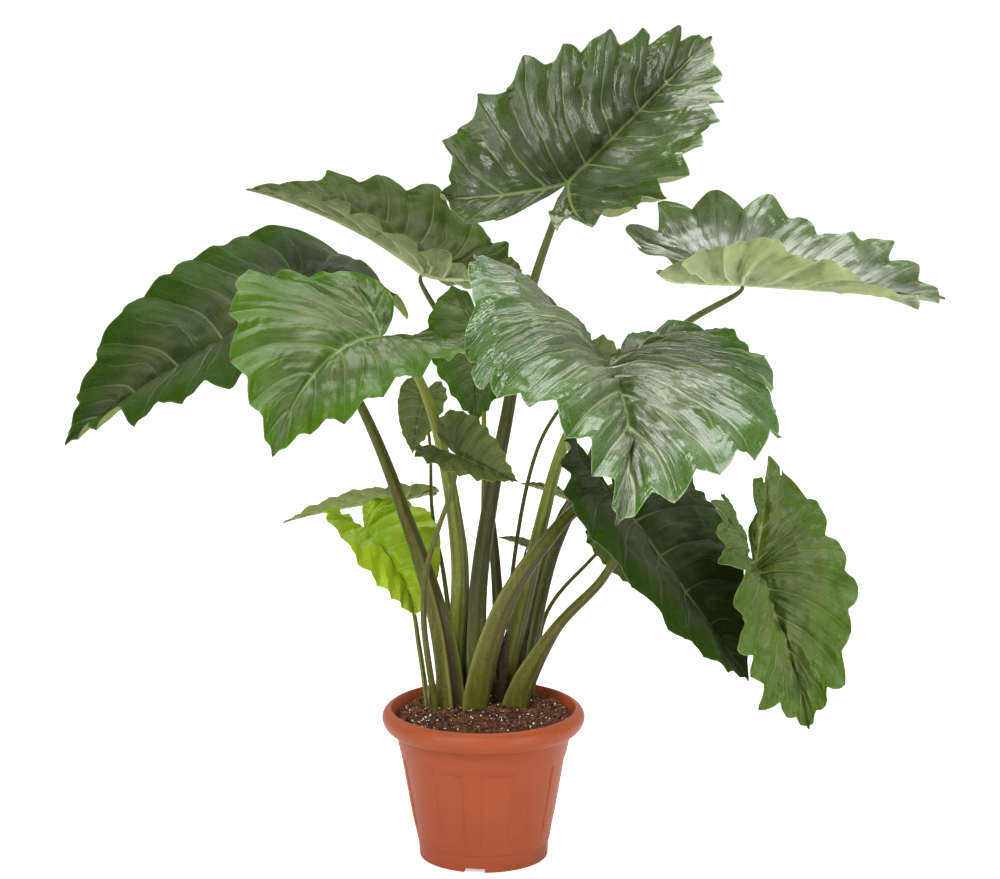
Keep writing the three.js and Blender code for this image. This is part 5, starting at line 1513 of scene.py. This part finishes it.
def make_soil(material):
    """Walls from the pot's inside, less a small clearance, closed on top by rings that follow soil_height."""
    walls = np.array(inside_profile(), float) - [SOIL_CLEARANCE, 0]
    walls[-1, 1] += SOIL_CLEARANCE
    below = walls[:0:-1]
    brim = np.interp(SOIL_BRIM, walls[::-1, 1], walls[::-1, 0])
    shares = 1 - np.arange(1, SOIL_RINGS) / SOIL_RINGS
    top = np.stack([brim * shares, np.full_like(shares, SOIL_BRIM)], -1)
    line = np.vstack([below, [(brim, SOIL_BRIM)], top])
    points, faces = turned(line, full_circle(SOIL_SEGMENTS))
    first_top = (len(below) + 1) * SOIL_SEGMENTS
    inner = np.r_[np.arange(first_top, len(line) * SOIL_SEGMENTS), len(points) - 1]
    points[inner, 2] = soil_height(points[inner, 0], points[inner, 1])
    soil = mesh_piece("soil_fine", points * MM, faces, sharp=80)
    hand_over(soil, "potting_soil", material, "soil")


print("the soil's crown:", round(float(soil_height(*CROWN)), 1), "mm up")

# %% [markdown]
# ### Grains
# A grain is an octahedron with its faces split in four and its corners moved by chance: 32 triangles are
# enough for something a few millimetres wide. Thousands of them lie where the soil's own formula puts its
# surface, in chance places that a fixed seed repeats. They keep clear of the stalks and the wall.

# %% Grains
ROUGH_GRAIN = np.array([
    (1, 0, 0), (-1, 0, 0), (0, 1, 0), (0, -1, 0), (0, 0, 1), (0, 0, -1),
    (1, 1, 0), (1, -1, 0), (1, 0, 1), (1, 0, -1), (-1, 1, 0), (-1, -1, 0), (-1, 0, 1), (-1, 0, -1),
    (0, 1, 1), (0, 1, -1), (0, -1, 1), (0, -1, -1),
], float)
GRAIN_CORNERS = [(0, 2, 4, 6, 14, 8), (2, 1, 4, 10, 12, 14), (1, 3, 4, 11, 16, 12), (3, 0, 4, 7, 8, 16),
                 (2, 0, 5, 6, 9, 15), (1, 2, 5, 10, 15, 13), (3, 1, 5, 11, 13, 17), (0, 3, 5, 7, 17, 9)]


def grain_faces():
    """The 32 triangles of an octahedron whose faces are each split in four."""
    faces = []
    for a, b, c, ab, bc, ca in GRAIN_CORNERS:
        faces += [(a, ab, ca), (ab, b, bc), (ca, bc, c), (ab, bc, ca)]
    return np.array(faces)


CLEAR_OF_WALL, ROUGHNESS, UNEVENNESS = 9, 0.35, 0.5


def scattered(name, count, sizes, flatness, lift, seed, material):
    """Rough grains of chance size, turn and shape on the soil, clear of the stalks, all in one mesh.

    The root of a chance number spreads them evenly over the disc, and the square of another makes most of
    them small. The middle of each lies above the soil by the share lift of its half height.
    """
    random = np.random.default_rng(seed)
    reach = OPENING_RADIUS - CLEAR_OF_WALL
    radius = reach * np.sqrt(random.random(count))
    turn = 2 * math.pi * random.random(count)
    x, y = radius * np.cos(turn), radius * np.sin(turn)
    size = sizes[0] + (sizes[1] - sizes[0]) * random.random(count) ** 2
    feet = np.array([leaf["path"][0][:2] for leaf in LEAVES], float)
    half = np.array([leaf["widths"][0] / 2 for leaf in LEAVES])
    off = (x[:, None] - feet[:, 0]) / (half + 1), (y[:, None] - feet[:, 1]) / (half * 0.55 + 1)
    free = (np.hypot(*off) > 1).all(axis=1) & (np.hypot(x, y) + size < reach + 3)
    x, y, size = x[free], y[free], size[free]
    count = len(x)
    spin = random.normal(size=(count, 3, 3))
    axes, _ = np.linalg.qr(spin)
    axes[:, 0] *= np.sign(np.linalg.det(axes))[:, None]
    corners = len(ROUGH_GRAIN)
    base = unit(ROUGH_GRAIN)[None] * (1 + ROUGHNESS * (random.random((count, corners, 1)) - 0.5))
    stretch = 1 + UNEVENNESS * (random.random((count, 1, 3)) - 0.5)
    shape = (base * stretch * size[:, None, None]) @ axes
    shape[..., 2] *= flatness
    centre = np.stack([x, y, soil_height(x, y) + size * flatness * lift], -1)
    points = (centre[:, None] + shape).reshape(-1, 3)
    faces = (grain_faces()[None] + corners * np.arange(count)[:, None, None]).reshape(-1, 3)
    shade = np.repeat(random.random(count), corners)
    piece = mesh_piece(name, points * MM, faces, {"shade": shade}, sharp=35)
    hand_over(piece, "potting_soil", material)
    return count


print("triangles in a grain:", len(grain_faces()))

# %% [markdown]
# ### Soil finishes
# Peat is nearly black where it is damp and reddish where it is dry. Perlite is chalk-white, and bark is a
# warmer brown. One group makes all three: a dark and a light colour, mixed by grain and by noise.

# %% Soil finishes
def granular_group():
    """A colour for each grain between dark and light, mottled, with a rough surface."""
    inputs = {"Dark": rgb(0.02, 0.01, 0.006), "Light": rgb(0.09, 0.045, 0.025)}
    group, tree, given, out = new_group("granular", inputs, SKIN_OUTPUTS)
    place = tree.place()
    mottle = tree.noise(place, 300.0, 5.0, 0.7)
    patches = tree.noise(place, 45.0, 3.0)
    by_grain = tree.math("MULTIPLY", tree.value("shade"), 0.6)
    share = tree.math("ADD", by_grain, tree.ramp(patches, 0.3, 0.7, 0.0, 0.5))
    share = tree.math("MULTIPLY", share, tree.ramp(mottle, 0.3, 0.65), clamp=True)
    tree.join(tree.mix(share, given["Dark"], given["Light"]), out["Base Color"])
    tree.join(tree.ramp(mottle, 0.3, 0.7, 0.75, 0.95), out["Roughness"])
    bump = tree.add("ShaderNodeBump", {"Strength": 0.8, "Distance": 0.0012, "Height": mottle})
    tree.join(bump.outputs[0], out["Normal"])
    return group


GRANULAR = granular_group()
DAMP = {"Specular IOR Level": 0.15}
PEAT = finish_with("potting_soil_fine", GRANULAR,
                   {"Dark": rgb(0.05, 0.021, 0.011), "Light": rgb(0.33, 0.145, 0.08)}, **DAMP)
PERLITE = finish_with("perlite_white", GRANULAR,
                      {"Dark": rgb(0.8, 0.76, 0.68), "Light": rgb(0.95, 0.94, 0.9)})
BARK = finish_with("bark_brown", GRANULAR,
                   {"Dark": rgb(0.08, 0.028, 0.013), "Light": rgb(0.34, 0.12, 0.055)}, **DAMP)
make_soil(PEAT)
print("crumbs:", scattered("soil_crumbs", 5200, (0.5, 3.4), 0.85, 0.4, 11, PEAT))
print("bits of bark:", scattered("bark_bits", 300, (1.8, 6.5), 0.6, 0.4, 12, BARK))
print("grains of perlite:", scattered("perlite_grains", 1200, (0.2, 1.7), 0.95, 0.8, 13, PERLITE))

# %% [markdown]
# ## Floor
# A wide pale floor fills the picture, as the paper does in a studio. It glows a little to the camera alone,
# so that it turns white without throwing more light up at the leaves.

# %% Floor
FLOOR_SIZE, FLOOR_DROP, FLOOR_GLOW = 40.0, 0.0002, 0.55


def make_floor():
    """A square far larger than the view, a hair below the pot's foot, whose glow only the camera sees."""
    corners = np.array([(-1, -1), (1, -1), (1, 1), (-1, 1)], float) * FLOOR_SIZE
    points = np.column_stack([corners, np.full(4, -FLOOR_DROP)])
    floor = mesh_piece("floor", points, np.array([[0, 1, 2, 3]]))
    material = bpy.data.materials.new("floor_white")
    material.use_nodes = True
    tree = Tree(material.node_tree)
    shader = material.node_tree.nodes["Principled BSDF"]
    shader.inputs["Base Color"].default_value = rgb(0.9, 0.9, 0.9)
    shader.inputs["Roughness"].default_value = 0.9
    shader.inputs["Specular IOR Level"].default_value = 0.0
    shader.inputs["Emission Color"].default_value = rgb(1, 1, 1)
    glow = tree.math("MULTIPLY", tree.add("ShaderNodeLightPath").outputs["Is Camera Ray"], FLOOR_GLOW)
    tree.join(glow, shader.inputs["Emission Strength"])
    floor.data.materials.append(material)


make_floor()
print("floor:", 2 * FLOOR_SIZE, "m wide")

# %% [markdown]
# ## Light
# The light is soft. The world is bright behind and above the plant, which draws a sheen on the leaves that
# slope away. Softboxes stand to the left, to the right and high in front, and the largest hangs overhead.
# One strong lamp would be simpler, but it casts hard shadows.

# %% Lights
def softbox(name, place, target, width, height, power):
    """A rectangular area light that looks at a point."""
    data = bpy.data.lights.new(name, "AREA")
    data.shape = "RECTANGLE"
    data.size = width
    data.size_y = height
    data.energy = power
    lamp = bpy.data.objects.new(name, data)
    lamp.location = place
    lamp.rotation_euler = (Vector(target) - Vector(place)).to_track_quat("-Z", "Y").to_euler()
    bpy.context.scene.collection.objects.link(lamp)


def make_world():
    """White to the camera. As light it is dim on the camera's side and bright behind and above the plant."""
    world = bpy.data.worlds.new("studio")
    world.use_nodes = True
    tree = Tree(world.node_tree)
    direction = tree.add("ShaderNodeTexCoord").outputs["Generated"]
    axes = tree.add("ShaderNodeSeparateXYZ", {"Vector": direction}).outputs
    behind = tree.ramp(axes[1], -0.4, 0.6, 0.12, 0.55)
    above = tree.ramp(axes[2], 0.1, 0.9, 0.0, 0.35)
    light = tree.math("ADD", behind, above)
    camera_ray = tree.add("ShaderNodeLightPath").outputs["Is Camera Ray"]
    strength = tree.math("MAXIMUM", camera_ray, light)
    tree.join(strength, world.node_tree.nodes["Background"].inputs["Strength"])
    world.node_tree.nodes["Background"].inputs["Color"].default_value = rgb(1, 1, 1)
    bpy.context.scene.world = world


MIDDLE = (0, 0, 0.6)
softbox("left_light", (-2.3, -2.5, 1.9), MIDDLE, 1.1, 2.2, 42)
softbox("right_light", (2.5, -2.3, 1.3), MIDDLE, 0.9, 2.2, 40)
softbox("front_light", (-0.7, -2.9, 3.3), MIDDLE, 1.2, 0.8, 46)
softbox("top_light", (0.1, 0.7, 3.2), MIDDLE, 2.4, 2.4, 75)
make_world()
print("lamps:", len(bpy.data.lights))
